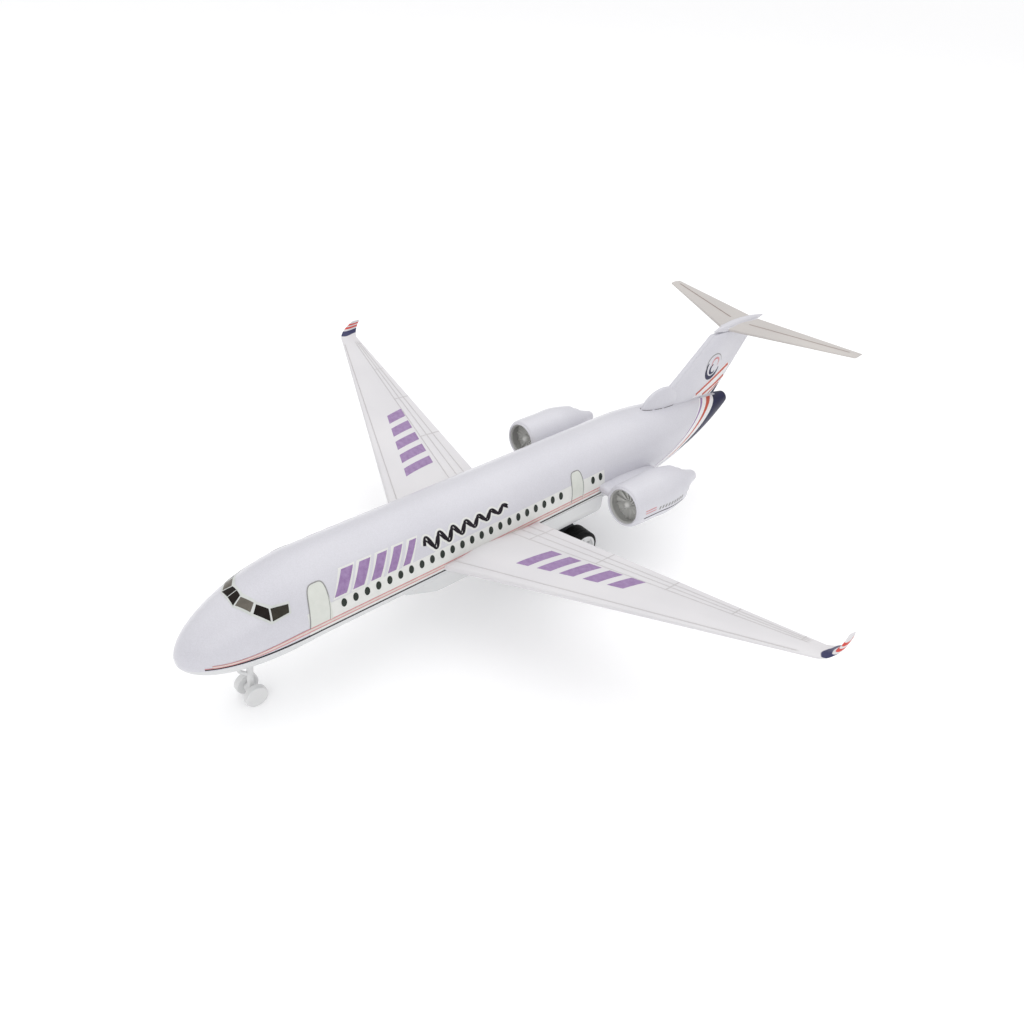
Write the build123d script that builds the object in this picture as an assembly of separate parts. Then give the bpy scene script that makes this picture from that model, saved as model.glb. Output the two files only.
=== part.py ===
from build123d import *
import os
from math import acos, asin, cos, pi, radians, sin, tan

# Toy jet airliner with a friction (flywheel) drive, in millimetres.
# +Z is up, the nose points along -Y and the port wing along +X. The floor is z = 0.
# "Station" is the distance aft of the nose tip; "level" is the height above the fuselage axis.

# --- clearances shared by everything that fits together
SLIP = 0.15            # gap all round a plug-in tongue or a lid
RUNNING = 0.05         # radial gap of a turning shaft in its bearing
GEAR_PLAY = 0.05       # added to each gear centre distance
TOOTH_THINNING = 0.06  # taken off each tooth at the pitch circle

# --- fuselage
FUSELAGE_RADIUS = 24.0
FUSELAGE_LENGTH = 400.0
SHELL_WALL = 1.6
NOSE_LENGTH = 63.0
NOSE_DROOP = 8.35
NOSE_DROOP_POWER = 1.15
NOSE_BLUNTNESS = 0.53
TAIL_LENGTH = 110.0
TAIL_TAPER_POWER = 1.65
TAIL_END_RADIUS = 4.2
TAIL_RISE = 4.9
TAIL_RISE_POWER = 3.0
PARTING_LEVEL = -8.5   # where the upper and lower shells meet
PARTING_NOSE_DROP = 2.2
PARTING_NOSE_LENGTH = 55.0
PARTING_TAIL_LAG = 5.0  # from the start of the tail cone to where the joint begins to slope
PARTING_TAIL_SLOPE = 0.045

# --- belly fairing, part of the lower shell
BELLY_FRONT = 118.0
BELLY_REAR = 257.5
BELLY_DROP = 3.0       # how far it hangs below the round fuselage
BELLY_NARROWING = 1.3  # fuselage radius less the belly's half width
BELLY_FRONT_HALF_WIDTH = 13.0
BELLY_CORNER = 11.5
BELLY_FRONT_RAMP = 32.0
BELLY_REAR_RAMP = 5.0
BELLY_RAMP_FOOT = 1.5   # how far inside the round fuselage the ramps start
WHEEL_GAP = 3.0         # tyre to belly

# --- wings
WING_LEADING_EDGE = 135.8  # station of the root leading edge, at the fuselage side
WING_ROOT_CHORD = 66.4
WING_TIP_CHORD = 11.8
WING_SWEEP = 0.418         # aft travel of the leading edge per outward travel
WING_DIHEDRAL = 0.169      # rise per outward travel
WING_ROOT_LEVEL = -4.8
WING_ROOT_THICKNESS = 7.2
WING_TIP_THICKNESS = 2.2
WING_PANEL_END = 193.0     # where the winglet starts to curl up
HALF_SPAN = 201.0
WINGLET_RISE = 9.0
WINGLET_RAKE = 13.5        # aft travel of the leading edge up the winglet
WINGLET_TOP_CHORD = 6.0
WING_TONGUE_THICKNESS = 3.6
WING_TONGUE_CHORD = 44.0
WING_TONGUE_MIDDLE = 0.42  # share of the root chord
WING_TONGUE_INSET = 7.0    # how near the two tongues come to the centre plane

# --- fin and tailplane
FIN_AHEAD = 86.7          # root leading edge to the tail end
FIN_ROOT_CHORD = 74.2
FIN_ROOT_LEVEL = 12.0
FIN_SWEEP = 58.0          # aft travel of the leading edge, root to top
FIN_TOP_CHORD = 51.7
FIN_TOP_LEVEL = 58.5
FIN_ROOT_THICKNESS = 7.0
FIN_TOP_THICKNESS = 5.0
DORSAL_SETBACK = 15.7     # root leading edge to the middle of the dorsal fillet
DORSAL_LENGTH = 37.0
DORSAL_HEIGHT = 13.0
DORSAL_RISE = 8.0         # root level to the middle of the dorsal fillet
DORSAL_WIDTH = 8.0
FIN_TONGUE_LENGTH = 34.0
FIN_TONGUE_THICKNESS = 3.0
FIN_TONGUE_DEPTH = 6.0
TAILPLANE_LEVEL = 60.5
TAILPLANE_SETBACK = 12.2  # fin leading edge to tailplane leading edge
TAILPLANE_ROOT_CHORD = 34.0
TAILPLANE_SWEEP = 37.0
TAILPLANE_TIP_CHORD = 9.5
TAILPLANE_HALF_SPAN = 76.0
TAILPLANE_DROP = 0.8
TAILPLANE_THICKNESS = 3.6
TAILPLANE_TIP_THICKNESS = 1.6
BULLET_RADIUS = 3.4
BULLET_LEAD = 9.0         # ahead of the tailplane's leading edge
BULLET_LENGTH = 53.2
TAIL_PEG_RADIUS = 1.4
TAIL_PEG_LENGTH = 7.0

# --- engines
ENGINE_OFFSET = 21.6        # fuselage side to nacelle axis
INTAKE_AHEAD = 40.5         # intake to the start of the tail cone
INTAKE_LEVEL = -1.2
NACELLE_TILT = 2.3          # degrees, intake up
NACELLE_LENGTH = 45.0
NACELLE_BORE = 10.4
NACELLE_LIP_WALL = 2.0
NACELLE_MID_WALL = 3.3
NACELLE_END_WALL = 1.5
FAN_DEPTH = 6.5
FAN_THICKNESS = 1.4
FAN_BLADES = 12
BLADE_CHORD = 2.2
BLADE_THICKNESS = 0.7
BLADE_TWIST = 35            # degrees
SPINNER_RADIUS = 3.0
SPINNER_LENGTH = 4.5
NOZZLE_STEP = 6.0
NOZZLE_LENGTH = 21.0
PYLON_LENGTH = 50.0
PYLON_LEAD = 2.0            # behind the intake
PYLON_THICKNESS = 7.0
PYLON_TONGUE_LENGTH = 26.0
PYLON_TONGUE_THICKNESS = 3.0
PYLON_TONGUE_DEPTH = 6.0

# --- nose gear
NOSE_GEAR_STATION = 31.6
NOSE_WHEEL_RADIUS = 6.0
NOSE_WHEEL_WIDTH = 3.8
NOSE_WHEEL_OFFSET = 5.4
NOSE_WHEEL_SHOULDER = 0.7
NOSE_AXLE_RADIUS = 1.0
STRUT_RADIUS = 1.7
STRUT_RAKE = 3.4            # how far aft the strut's top stands
STRUT_SOCKET_WALL = 2.0
AXLE_BOSS_WALL = 1.6
KNEE_SHARE = 0.28           # how far up the strut the braces join it
BRACE_RADIUS = 1.0
ELBOW = (-5.0, 5.5)         # from the strut's knee to the bend of the fore brace: aft, up
FORE_BRACE = (-1.5, 14.0)   # from that bend up into the nose
AFT_BRACE = (6.0, 22.0)     # from the knee up into the nose

# --- main wheels
MAIN_AXLE_STATION = 241.0
TYRE_RADIUS = 12.0
HUB_RADIUS = 9.8
WHEEL_WIDTH = 12.5
WHEEL_FACE = 27.0           # centre plane to the outer face of a wheel
AXLE_RADIUS = 1.5
HUB_DISH = 1.6
HUB_HOLES = 5
HUB_HOLE_RADIUS = 1.9
HUB_HOLE_CIRCLE = 5.8
HUB_BOSS_RADIUS = 3.0
HUB_RIM = 1.3
HUB_HOLE_DEPTH = 2.5
TYRE_SHOULDER = 1.4

# --- friction drive
MODULE = 0.5
PRESSURE_ANGLE = radians(25)
AXLE_TEETH = 28
IDLER_TEETH = 32
PINION_TEETH = 12
GEAR_WIDTH = 3.0
GEAR_GAP = 0.4                     # sideways, between neighbouring gears
AXLE_GEAR_SIDE = 2.0               # x of the near face of the axle gear
SHAFT_RADIUS = 1.0
FLYWHEEL_GAP = 0.85                # rim to the idler's shaft
FLYWHEEL_WIDTH = 5.5
IDLER_DIRECTION = radians(131)     # from the main axle, seen with the nose to the left
FLYWHEEL_DIRECTION = radians(148)  # from the idler
CASE_HALF_WIDTH = 11.0
CASE_WALL = 1.4
CASE_GAP = 0.6                     # between a gear's teeth and the case
CASE_LUG_RADIUS = 2.8
CASE_LUG_RISE = 2.7                # above the pad that the ears rest on
CASE_EAR_LENGTH = 6.0
CASE_EAR_THICKNESS = 2.0
MOTOR_PAD = 2.0                    # thickening of the belly that the ears rest on

# --- screws
SCREW_SHANK = 1.25
SCREW_HEAD = 2.6
SCREW_HEAD_HEIGHT = 1.8
SCREW_BITE = 9.0                   # how far the screw goes into the upper post
POST_RADIUS = 3.1
WELL_WALL = 1.2
POST_FLOOR = 4.0                   # solid plastic between the screw head and the parting plane
NOSE_POSTS = (62.0, 122.0)         # stations
TAIL_POSTS = (-18.0, 48.0)         # from the start of the tail cone
SMALL_SCREW_SHANK = 0.8
SMALL_SCREW_HEAD = 1.6
SMALL_SCREW_HEAD_HEIGHT = 1.2

# --- worked out from the sizes above
TAIL_START = FUSELAGE_LENGTH - TAIL_LENGTH
PARTING_TAIL_START = TAIL_START + PARTING_TAIL_LAG
BELLY_HALF_WIDTH = FUSELAGE_RADIUS - BELLY_NARROWING
BELLY_CLEARANCE = 2 * TYRE_RADIUS + WHEEL_GAP
AXIS_HEIGHT = BELLY_CLEARANCE + FUSELAGE_RADIUS + BELLY_DROP
FIN_ROOT_STATION = FUSELAGE_LENGTH - FIN_AHEAD
FIN_TOP_STATION = FIN_ROOT_STATION + FIN_SWEEP
TAILPLANE_STATION = FIN_TOP_STATION + TAILPLANE_SETBACK
TAILPLANE_TIP_STATION = TAILPLANE_STATION + TAILPLANE_SWEEP
BULLET_FRONT = TAILPLANE_STATION - BULLET_LEAD
BULLET_REAR = BULLET_FRONT + BULLET_LENGTH
INTAKE_STATION = TAIL_START - INTAKE_AHEAD
NACELLE_LIP_RADIUS = NACELLE_BORE + NACELLE_LIP_WALL
NACELLE_MID_RADIUS = NACELLE_BORE + NACELLE_MID_WALL
NACELLE_END_RADIUS = NACELLE_BORE + NACELLE_END_WALL
IDLER_REACH = MODULE * (AXLE_TEETH + PINION_TEETH) / 2 + GEAR_PLAY
FLYWHEEL_REACH = MODULE * (IDLER_TEETH + PINION_TEETH) / 2 + GEAR_PLAY
FLYWHEEL_RADIUS = FLYWHEEL_REACH - SHAFT_RADIUS - FLYWHEEL_GAP
POST_STATIONS = NOSE_POSTS + tuple(TAIL_START + offset for offset in TAIL_POSTS)
OVERALL_LENGTH = max(TAILPLANE_TIP_STATION + TAILPLANE_TIP_CHORD, BULLET_REAR)
IDLER_GEAR_SIDE = AXLE_GEAR_SIDE - GEAR_WIDTH - GEAR_GAP
REACH = 500.0                      # longer than the whole aeroplane, for cutting blocks
SIDES = {"port": 1, "starboard": -1}


def place(x, station, level):
    """A point given by its sideways position, its station and its level."""
    return Vector(x, station - OVERALL_LENGTH / 2, AXIS_HEIGHT + level)


def floor_point(x, station, height):
    """A point given by its height above the floor in place of its level."""
    return Vector(x, station - OVERALL_LENGTH / 2, height)


def fore_and_aft(station, level):
    """The plane square to the fuselage axis, with its own y pointing up."""
    return Plane(place(0, station, level), x_dir=(1, 0, 0), z_dir=(0, -1, 0))


def side_view(x=0.0):
    """The plane square to the wheel axles: its own x runs aft and its own y runs up."""
    return Plane((x, 0, 0), x_dir=(0, 1, 0), z_dir=(1, 0, 0))


def block(low, high):
    """A box between two opposite corners."""
    size = high - low
    return Pos((low + high) / 2) * Box(abs(size.X), abs(size.Y), abs(size.Z))


def rod(start, end, radius):
    """A round bar from one point to another."""
    run = end - start
    return extrude(Plane(start, z_dir=run) * Circle(radius), run.length)


def seen_from_side(station, level):
    """The side view's own coordinates of a point given by its station and its level."""
    point = place(0, station, level)
    return point.Y, point.Z


def mirrored(part, side):
    return part if SIDES[side] > 0 else mirror(part, Plane.YZ)


# --- fuselage


def hull(inset):
    """The solid fuselage, shrunk all round by an inset: round sections strung along a drooping axis."""
    nose_steps = (0.006, 0.03, 0.08, 0.16, 0.27, 0.40, 0.55, 0.70, 0.85, 0.95, 1.0)
    nose = []
    for step in nose_steps:
        station = inset + step * (NOSE_LENGTH - inset)
        radius = (FUSELAGE_RADIUS - inset) * (1 - (1 - step) ** 2) ** NOSE_BLUNTNESS
        level = -NOSE_DROOP * (1 - station / NOSE_LENGTH) ** NOSE_DROOP_POWER if step < 1 else 0
        nose.append(fore_and_aft(station, level) * Circle(radius))
    barrel = extrude(fore_and_aft(TAIL_START, 0) * Circle(FUSELAGE_RADIUS - inset), TAIL_START - NOSE_LENGTH)
    tail = []
    end = FUSELAGE_LENGTH - inset
    for step in (0.0, 0.06, 0.2, 0.35, 0.5, 0.65, 0.8, 0.92, 1.0):
        station = TAIL_START + step * (end - TAIL_START)
        share = (station - TAIL_START) / TAIL_LENGTH
        radius = FUSELAGE_RADIUS - inset - (FUSELAGE_RADIUS - TAIL_END_RADIUS) * share**TAIL_TAPER_POWER
        tail.append(fore_and_aft(station, TAIL_RISE * share**TAIL_RISE_POWER) * Circle(radius))
    return loft(nose) + barrel + loft(tail)


def parting_level(station):
    """The level of the joint between the shells, aft of the nose."""
    return PARTING_LEVEL - PARTING_TAIL_SLOPE * max(0, station - PARTING_TAIL_START)


def below_parting():
    """Everything under the joint between the shells, which droops at the nose and along the tail."""
    tip_level = PARTING_LEVEL - PARTING_NOSE_DROP
    knots = [
        (-5, tip_level),
        (0.45 * PARTING_NOSE_LENGTH, tip_level + 0.3),
        (PARTING_NOSE_LENGTH, PARTING_LEVEL),
    ]
    far = FUSELAGE_LENGTH + 20
    corners = [
        (PARTING_NOSE_LENGTH, PARTING_LEVEL),
        (PARTING_TAIL_START, PARTING_LEVEL),
        (far, parting_level(far)),
        (far, -REACH),
        (-5, -REACH),
        (-5, tip_level),
    ]
    nose = Spline([seen_from_side(*knot) for knot in knots], tangents=[(1, 0), (1, 0)])
    rest = Polyline(*[seen_from_side(*corner) for corner in corners])
    return extrude(side_view() * make_face([nose, rest]), REACH, both=True)


def belly(inset):
    """The boxy fairing under the wings: a rounded bar cut by a side outline and a plan outline with ramps."""
    half = BELLY_HALF_WIDTH - inset
    bottom = -FUSELAGE_RADIUS - BELLY_DROP + inset
    middle = (PARTING_LEVEL + bottom) / 2
    cross = fore_and_aft(BELLY_REAR, middle) * Rectangle(2 * half, PARTING_LEVEL - bottom)
    bar = extrude(cross, BELLY_REAR - BELLY_FRONT)
    low_edges = bar.edges().filter_by(Axis.Y).group_by(Axis.Z)[0]
    bar = fillet(low_edges, BELLY_CORNER - inset)
    front, rear = BELLY_FRONT + inset, BELLY_REAR - inset
    front_foot = -FUSELAGE_RADIUS + BELLY_RAMP_FOOT + inset
    rear_foot = -FUSELAGE_RADIUS + 2 * BELLY_RAMP_FOOT + inset
    side_outline = [
        (front, PARTING_LEVEL),
        (front, front_foot),
        (front + BELLY_FRONT_RAMP, bottom),
        (rear - BELLY_REAR_RAMP, bottom),
        (rear, rear_foot),
        (rear, PARTING_LEVEL),
    ]
    side = make_face(Polyline(*[seen_from_side(*point) for point in side_outline], close=True))
    nose_half = BELLY_FRONT_HALF_WIDTH - inset
    plan_outline = [(nose_half, front), (half, front + BELLY_FRONT_RAMP), (half, rear)]
    plan_outline += [(-x, station) for x, station in reversed(plan_outline)]
    corners = [place(x, station, 0) for x, station in plan_outline]
    plan = make_face(Polyline(*[(corner.X, corner.Y) for corner in corners], close=True))
    return bar & extrude(side_view() * side, 2 * half, both=True) & extrude(plan, AXIS_HEIGHT)


def post_joint(station):
    """Where the upper and the lower screw post meet."""
    return place(0, station, parting_level(station))


def head_seat(station):
    """Where a screw head sits inside its well."""
    return post_joint(station) - Vector(0, 0, POST_FLOOR)


def shell_posts(outer, upper):
    """Posts that the case screws join, trimmed to the outside of the fuselage."""
    posts = Part()
    radius = POST_RADIUS if upper else SCREW_HEAD + SLIP + WELL_WALL
    run = Vector(0, 0, AXIS_HEIGHT if upper else -AXIS_HEIGHT)
    for station in POST_STATIONS:
        posts += rod(post_joint(station), post_joint(station) + run, radius) & outer
    return posts


def upper_shell(outer, inner):
    shell = outer - inner - below_parting()
    shell += shell_posts(outer, True)
    for station in POST_STATIONS:
        joint = post_joint(station)
        shell -= rod(joint, joint + Vector(0, 0, SCREW_BITE + 1), SCREW_SHANK)
    for side in SIDES:
        shell -= mirrored(wing_tongue(SLIP), side)
        shell -= mirrored(pylon_tongue(SLIP), side)
    return shell - fin_tongue(SLIP)


def lower_shell(outer, inner):
    outside = (outer & below_parting()) + belly(0)
    shell = outside - inner - belly(SHELL_WALL)
    shell += shell_posts(outside, False)
    opening, pad = motor_opening()
    shell += pad
    shell += strut_socket() & outside
    shell -= opening
    for station in POST_STATIONS:
        seat = head_seat(station)
        shell -= rod(seat, seat - Vector(0, 0, AXIS_HEIGHT), SCREW_HEAD + SLIP)
        shell -= rod(seat, post_joint(station), SCREW_SHANK + SLIP)
    for point in motor_screw_points():
        shell -= rod(point - Vector(0, 0, MOTOR_PAD + 1), point, SMALL_SCREW_SHANK)
    top, foot = strut_ends()
    return shell - rod(foot, top, STRUT_RADIUS)


def case_screws():
    """The long screws that hold the two fuselage shells together."""
    screws = []
    for station in POST_STATIONS:
        seat = head_seat(station)
        head_end = seat - Vector(0, 0, SCREW_HEAD_HEIGHT)
        screw = rod(seat, post_joint(station) + Vector(0, 0, SCREW_BITE), SCREW_SHANK)
        screw += rod(head_end, seat, SCREW_HEAD)
        screws.append(screw - cross_recess(head_end, SCREW_HEAD))
    return Compound(children=screws)


def cross_recess(point, head):
    """The cross-shaped driver recess in a screw head that faces down at this point."""
    long_side, short_side, depth = 1.2 * head, 0.25 * head, 0.8
    bar = Box(long_side, short_side, 2 * depth)
    return Pos(point) * (bar + Rot(0, 0, 90) * bar)


# --- lifting surfaces


def wing_section(origin, tilt, chord, thickness):
    """A streamlined section: its nose at the origin, its chord running aft, tilted up by an angle."""
    plane = Plane(origin, x_dir=(0, 1, 0), z_dir=(cos(tilt), 0, sin(tilt)))
    half = thickness / 2
    upper = Spline(
        [
            (0, 0),
            (0.07 * chord, 0.62 * half),
            (0.32 * chord, half),
            (0.66 * chord, 0.66 * half),
            (chord, 0.16 * half),
        ],
        tangents=[(0, 1), (1, -1.3 * half / chord)],
    )
    lower = mirror(upper, Plane.XZ)
    back = Line((chord, 0.16 * half), (chord, -0.16 * half))
    return plane * make_face([upper, back, lower])


def wing_at(x):
    """The wing's section at a distance from the centre plane."""
    outward = x - FUSELAGE_RADIUS
    share = outward / (WING_PANEL_END - FUSELAGE_RADIUS)
    chord = WING_ROOT_CHORD + (WING_TIP_CHORD - WING_ROOT_CHORD) * share
    thickness = WING_ROOT_THICKNESS + (WING_TIP_THICKNESS - WING_ROOT_THICKNESS) * share
    nose = place(x, WING_LEADING_EDGE + WING_SWEEP * outward, WING_ROOT_LEVEL + WING_DIHEDRAL * outward)
    return wing_section(nose, 0, chord, thickness)


def wing_tongue(gap):
    """The flat tongue that plugs into the fuselage, or with a gap, its slot."""
    middle = WING_LEADING_EDGE + WING_TONGUE_MIDDLE * WING_ROOT_CHORD
    half_chord = WING_TONGUE_CHORD / 2 + gap
    half_thickness = WING_TONGUE_THICKNESS / 2 + gap
    level = WING_ROOT_LEVEL + WING_DIHEDRAL * (WING_TONGUE_INSET - FUSELAGE_RADIUS) / 3
    low = place(WING_TONGUE_INSET - gap, middle - half_chord, level - half_thickness)
    high = place(FUSELAGE_RADIUS + 3, middle + half_chord, level + half_thickness)
    return block(low, high)


def wing(outer):
    """The port wing with its winglet, trimmed to sit against the fuselage and the belly fairing."""
    panel = loft([wing_at(0.6 * FUSELAGE_RADIUS), wing_at(WING_PANEL_END)], ruled=True)
    outward = WING_PANEL_END - FUSELAGE_RADIUS
    station = WING_LEADING_EDGE + WING_SWEEP * outward
    tip = place(WING_PANEL_END, station, WING_ROOT_LEVEL + WING_DIHEDRAL * outward)
    curl = HALF_SPAN - WING_PANEL_END
    middle = tip + Vector(0.62 * curl, 0.35 * curl, 0.24 * curl)
    top = tip + Vector(curl - WING_TIP_THICKNESS / 2, WINGLET_RAKE, WINGLET_RISE)
    sections = [
        wing_section(tip, 0, WING_TIP_CHORD, WING_TIP_THICKNESS),
        wing_section(middle, radians(35), WING_TIP_CHORD, WING_TIP_THICKNESS),
        wing_section(top, radians(75), WINGLET_TOP_CHORD, 0.6 * WING_TIP_THICKNESS),
    ]
    winglet = loft(sections)
    return (panel + winglet) - outer - belly(0) + wing_tongue(0)


def fin_tongue(gap):
    """The tongue under the fin that plugs into the tail, or with a gap, its slot."""
    middle = FIN_ROOT_STATION + 0.5 * FIN_ROOT_CHORD
    half = FIN_TONGUE_THICKNESS / 2 + gap
    low = place(-half, middle - FIN_TONGUE_LENGTH / 2 - gap, FIN_ROOT_LEVEL - FIN_TONGUE_DEPTH - gap)
    high = place(half, middle + FIN_TONGUE_LENGTH / 2 + gap, FIN_ROOT_LEVEL + 14)
    return block(low, high)


def fin_section(station, level, chord, thickness):
    section = wing_section(Vector(0, 0, 0), 0, chord, thickness)
    lying = Plane.YZ.to_local_coords(section)
    plane = Plane(place(0, station, level), x_dir=(0, 1, 0), z_dir=(0, 0, 1))
    return plane * lying


def peg_point():
    return place(0, TAILPLANE_STATION + 0.4 * TAILPLANE_ROOT_CHORD, FIN_TOP_LEVEL)


def tail_fin(outer):
    """The swept fin with its dorsal fillet, trimmed to the tail cone, and a hole for the tailplane peg."""
    root = fin_section(FIN_ROOT_STATION, FIN_ROOT_LEVEL, FIN_ROOT_CHORD, FIN_ROOT_THICKNESS)
    top = fin_section(FIN_TOP_STATION, FIN_TOP_LEVEL, FIN_TOP_CHORD, FIN_TOP_THICKNESS)
    blade = loft([root, top], ruled=True)
    bump = scale(Sphere(1), by=(DORSAL_WIDTH / 2, DORSAL_LENGTH / 2, DORSAL_HEIGHT))
    blade += Pos(place(0, FIN_ROOT_STATION + DORSAL_SETBACK, FIN_ROOT_LEVEL + DORSAL_RISE)) * bump
    peg = rod(peg_point() - Vector(0, 0, TAIL_PEG_LENGTH + 1), peg_point(), TAIL_PEG_RADIUS)
    return blade - outer + fin_tongue(0) - peg


def tailplane(fin):
    """Both halves of the tailplane in one piece with the pointed fairing over the fin."""
    root_nose = place(0, TAILPLANE_STATION, TAILPLANE_LEVEL)
    tip_nose = place(TAILPLANE_HALF_SPAN, TAILPLANE_TIP_STATION, TAILPLANE_LEVEL - TAILPLANE_DROP)
    root = wing_section(root_nose, 0, TAILPLANE_ROOT_CHORD, TAILPLANE_THICKNESS)
    tip = wing_section(tip_nose, 0, TAILPLANE_TIP_CHORD, TAILPLANE_TIP_THICKNESS)
    half = loft([root, tip], ruled=True)
    length = BULLET_LENGTH
    end = 0.12 * BULLET_RADIUS
    shoulder = (0.12 * length, 0.55 * BULLET_RADIUS)
    bulge = Spline((0, end), shoulder, (0.5 * length, BULLET_RADIUS), (length, end))
    spindle = revolve(make_face([bulge, Polyline((length, end), (length, 0), (0, 0), (0, end))]), Axis.X)
    spindle = Plane(place(0, BULLET_FRONT, TAILPLANE_LEVEL), x_dir=(0, 1, 0), z_dir=(1, 0, 0)) * spindle
    both = half + mirror(half, Plane.YZ) + spindle
    peg = rod(peg_point() - Vector(0, 0, TAIL_PEG_LENGTH), peg_point() + Vector(0, 0, 1.5), TAIL_PEG_RADIUS)
    return both - fin + peg


# --- engines


def nacelle_frame():
    """The port nacelle's own frame: x runs aft along the tilted engine axis and z runs to port."""
    tilt = radians(NACELLE_TILT)
    centre = place(FUSELAGE_RADIUS + ENGINE_OFFSET, INTAKE_STATION, INTAKE_LEVEL)
    return Plane(centre, x_dir=(0, cos(tilt), -sin(tilt)), z_dir=(1, 0, 0))


def turned(points):
    """A solid turned about the frame's x axis from a closed outline of straight sides."""
    return revolve(make_face(Polyline(*points, close=True)), Axis.X)


def pylon_tongue(gap):
    """The tongue that plugs the port engine into the fuselage side, or with a gap, its slot."""
    middle = INTAKE_STATION + 0.6 * PYLON_LENGTH
    half_length = PYLON_TONGUE_LENGTH / 2 + gap
    half_thickness = PYLON_TONGUE_THICKNESS / 2 + gap
    level = INTAKE_LEVEL - 0.5 * PYLON_LENGTH * tan(radians(NACELLE_TILT))
    low = place(FUSELAGE_RADIUS - PYLON_TONGUE_DEPTH - gap, middle - half_length, level - half_thickness)
    high = place(FUSELAGE_RADIUS + 3, middle + half_length, level + half_thickness)
    return block(low, high)


def nacelle(outer):
    """The port engine cowl with its pylon, trimmed to the fuselage side, open at both ends."""
    skin = Spline(
        [
            (0, NACELLE_LIP_RADIUS - 0.6),
            (0.08 * NACELLE_LENGTH, NACELLE_LIP_RADIUS + 0.8),
            (0.45 * NACELLE_LENGTH, NACELLE_MID_RADIUS),
            (NACELLE_LENGTH, NACELLE_END_RADIUS),
        ],
        tangents=[(0.4, 1), (1, -0.2)],
    )
    lip = CenterArc((0, NACELLE_LIP_RADIUS - 1.2), 0.6, 90, 180)
    rest = Polyline(
        (0, NACELLE_LIP_RADIUS - 1.8),
        (2, NACELLE_BORE),
        (NACELLE_LENGTH, NACELLE_BORE),
        (NACELLE_LENGTH, NACELLE_END_RADIUS),
    )
    cowl = revolve(make_face([skin, lip, rest]), Axis.X)
    bore = turned([(-5, 0), (-5, NACELLE_BORE), (NACELLE_LENGTH + 5, NACELLE_BORE), (NACELLE_LENGTH + 5, 0)])
    reach = FUSELAGE_RADIUS + ENGINE_OFFSET
    pylon_plane = nacelle_frame().offset(-reach + 0.7 * FUSELAGE_RADIUS)
    half = PYLON_THICKNESS / 2
    arch = Spline(
        [
            (PYLON_LEAD, 0),
            (PYLON_LEAD + 0.1 * PYLON_LENGTH, 0.8 * half),
            (0.4 * PYLON_LENGTH, half),
            (0.8 * PYLON_LENGTH, 0.7 * half),
            (PYLON_LENGTH, 0),
        ],
        tangents=[(0, 1), (1, -0.3)],
    )
    outline = make_face([arch, mirror(arch, Plane.XZ)])
    pylon = extrude(outline, reach - 0.7 * FUSELAGE_RADIUS - 0.5 * NACELLE_BORE)
    body = nacelle_frame() * (cowl - bore) + (pylon_plane * pylon - nacelle_frame() * bore)
    return body - outer + pylon_tongue(0)


def fan():
    """The port fan: a disc pressed into the bore, with a spinner and raised slanted blades."""
    back = FAN_DEPTH + FAN_THICKNESS
    disc = turned([(FAN_DEPTH, 0), (FAN_DEPTH, NACELLE_BORE), (back, NACELLE_BORE), (back, 0)])
    tip = (FAN_DEPTH - SPINNER_LENGTH, 0)
    curve = Spline([tip, (FAN_DEPTH + 0.5, SPINNER_RADIUS)], tangents=[(0.2, 1), (1, 0.1)])
    sides = Polyline((FAN_DEPTH + 0.5, SPINNER_RADIUS), (FAN_DEPTH + 0.5, 0), (FAN_DEPTH - SPINNER_LENGTH, 0))
    solid = disc + revolve(make_face([curve, sides]), Axis.X)
    span = NACELLE_BORE - SPINNER_RADIUS - 0.6
    blade = Box(BLADE_CHORD, span + 0.8, BLADE_THICKNESS)
    blade = Pos(FAN_DEPTH - 0.4, SPINNER_RADIUS + span / 2 - 0.2, 0) * Rot(0, BLADE_TWIST, 0) * blade
    for number in range(FAN_BLADES):
        solid += Rot(360 / FAN_BLADES * number, 0, 0) * blade
    return nacelle_frame() * solid


def exhaust_nozzle():
    """The port exhaust: a collar inside the cowl, one step down, and a tapering core with a rounded tip."""
    start = NACELLE_LENGTH
    shoulder = start + NOZZLE_STEP
    tip = start + NOZZLE_LENGTH
    straight = Polyline(
        (tip, 0),
        (start - 7, 0),
        (start - 7, NACELLE_BORE),
        (start, NACELLE_BORE),
        (shoulder, NACELLE_BORE - 1.6),
        (shoulder, NACELLE_BORE - 3.2),
    )
    core = Spline(
        [(shoulder, NACELLE_BORE - 3.2), (tip - 5, 0.42 * NACELLE_BORE), (tip, 0)],
        tangents=[(1, -0.1), (0, -1)],
    )
    return nacelle_frame() * revolve(make_face([straight, core]), Axis.X)


# --- nose gear


def strut_ends():
    """Where the strut's peg ends inside the fuselage, and its foot at the axle."""
    foot = floor_point(0, NOSE_GEAR_STATION, NOSE_WHEEL_RADIUS)
    rise = AXIS_HEIGHT + PARTING_LEVEL - 4 - NOSE_WHEEL_RADIUS
    return foot + Vector(0, STRUT_RAKE, rise), foot


def strut_socket():
    """The socket inside the nose that grips the strut's peg."""
    top, foot = strut_ends()
    return rod(foot, top, STRUT_RADIUS + STRUT_SOCKET_WALL)


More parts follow.
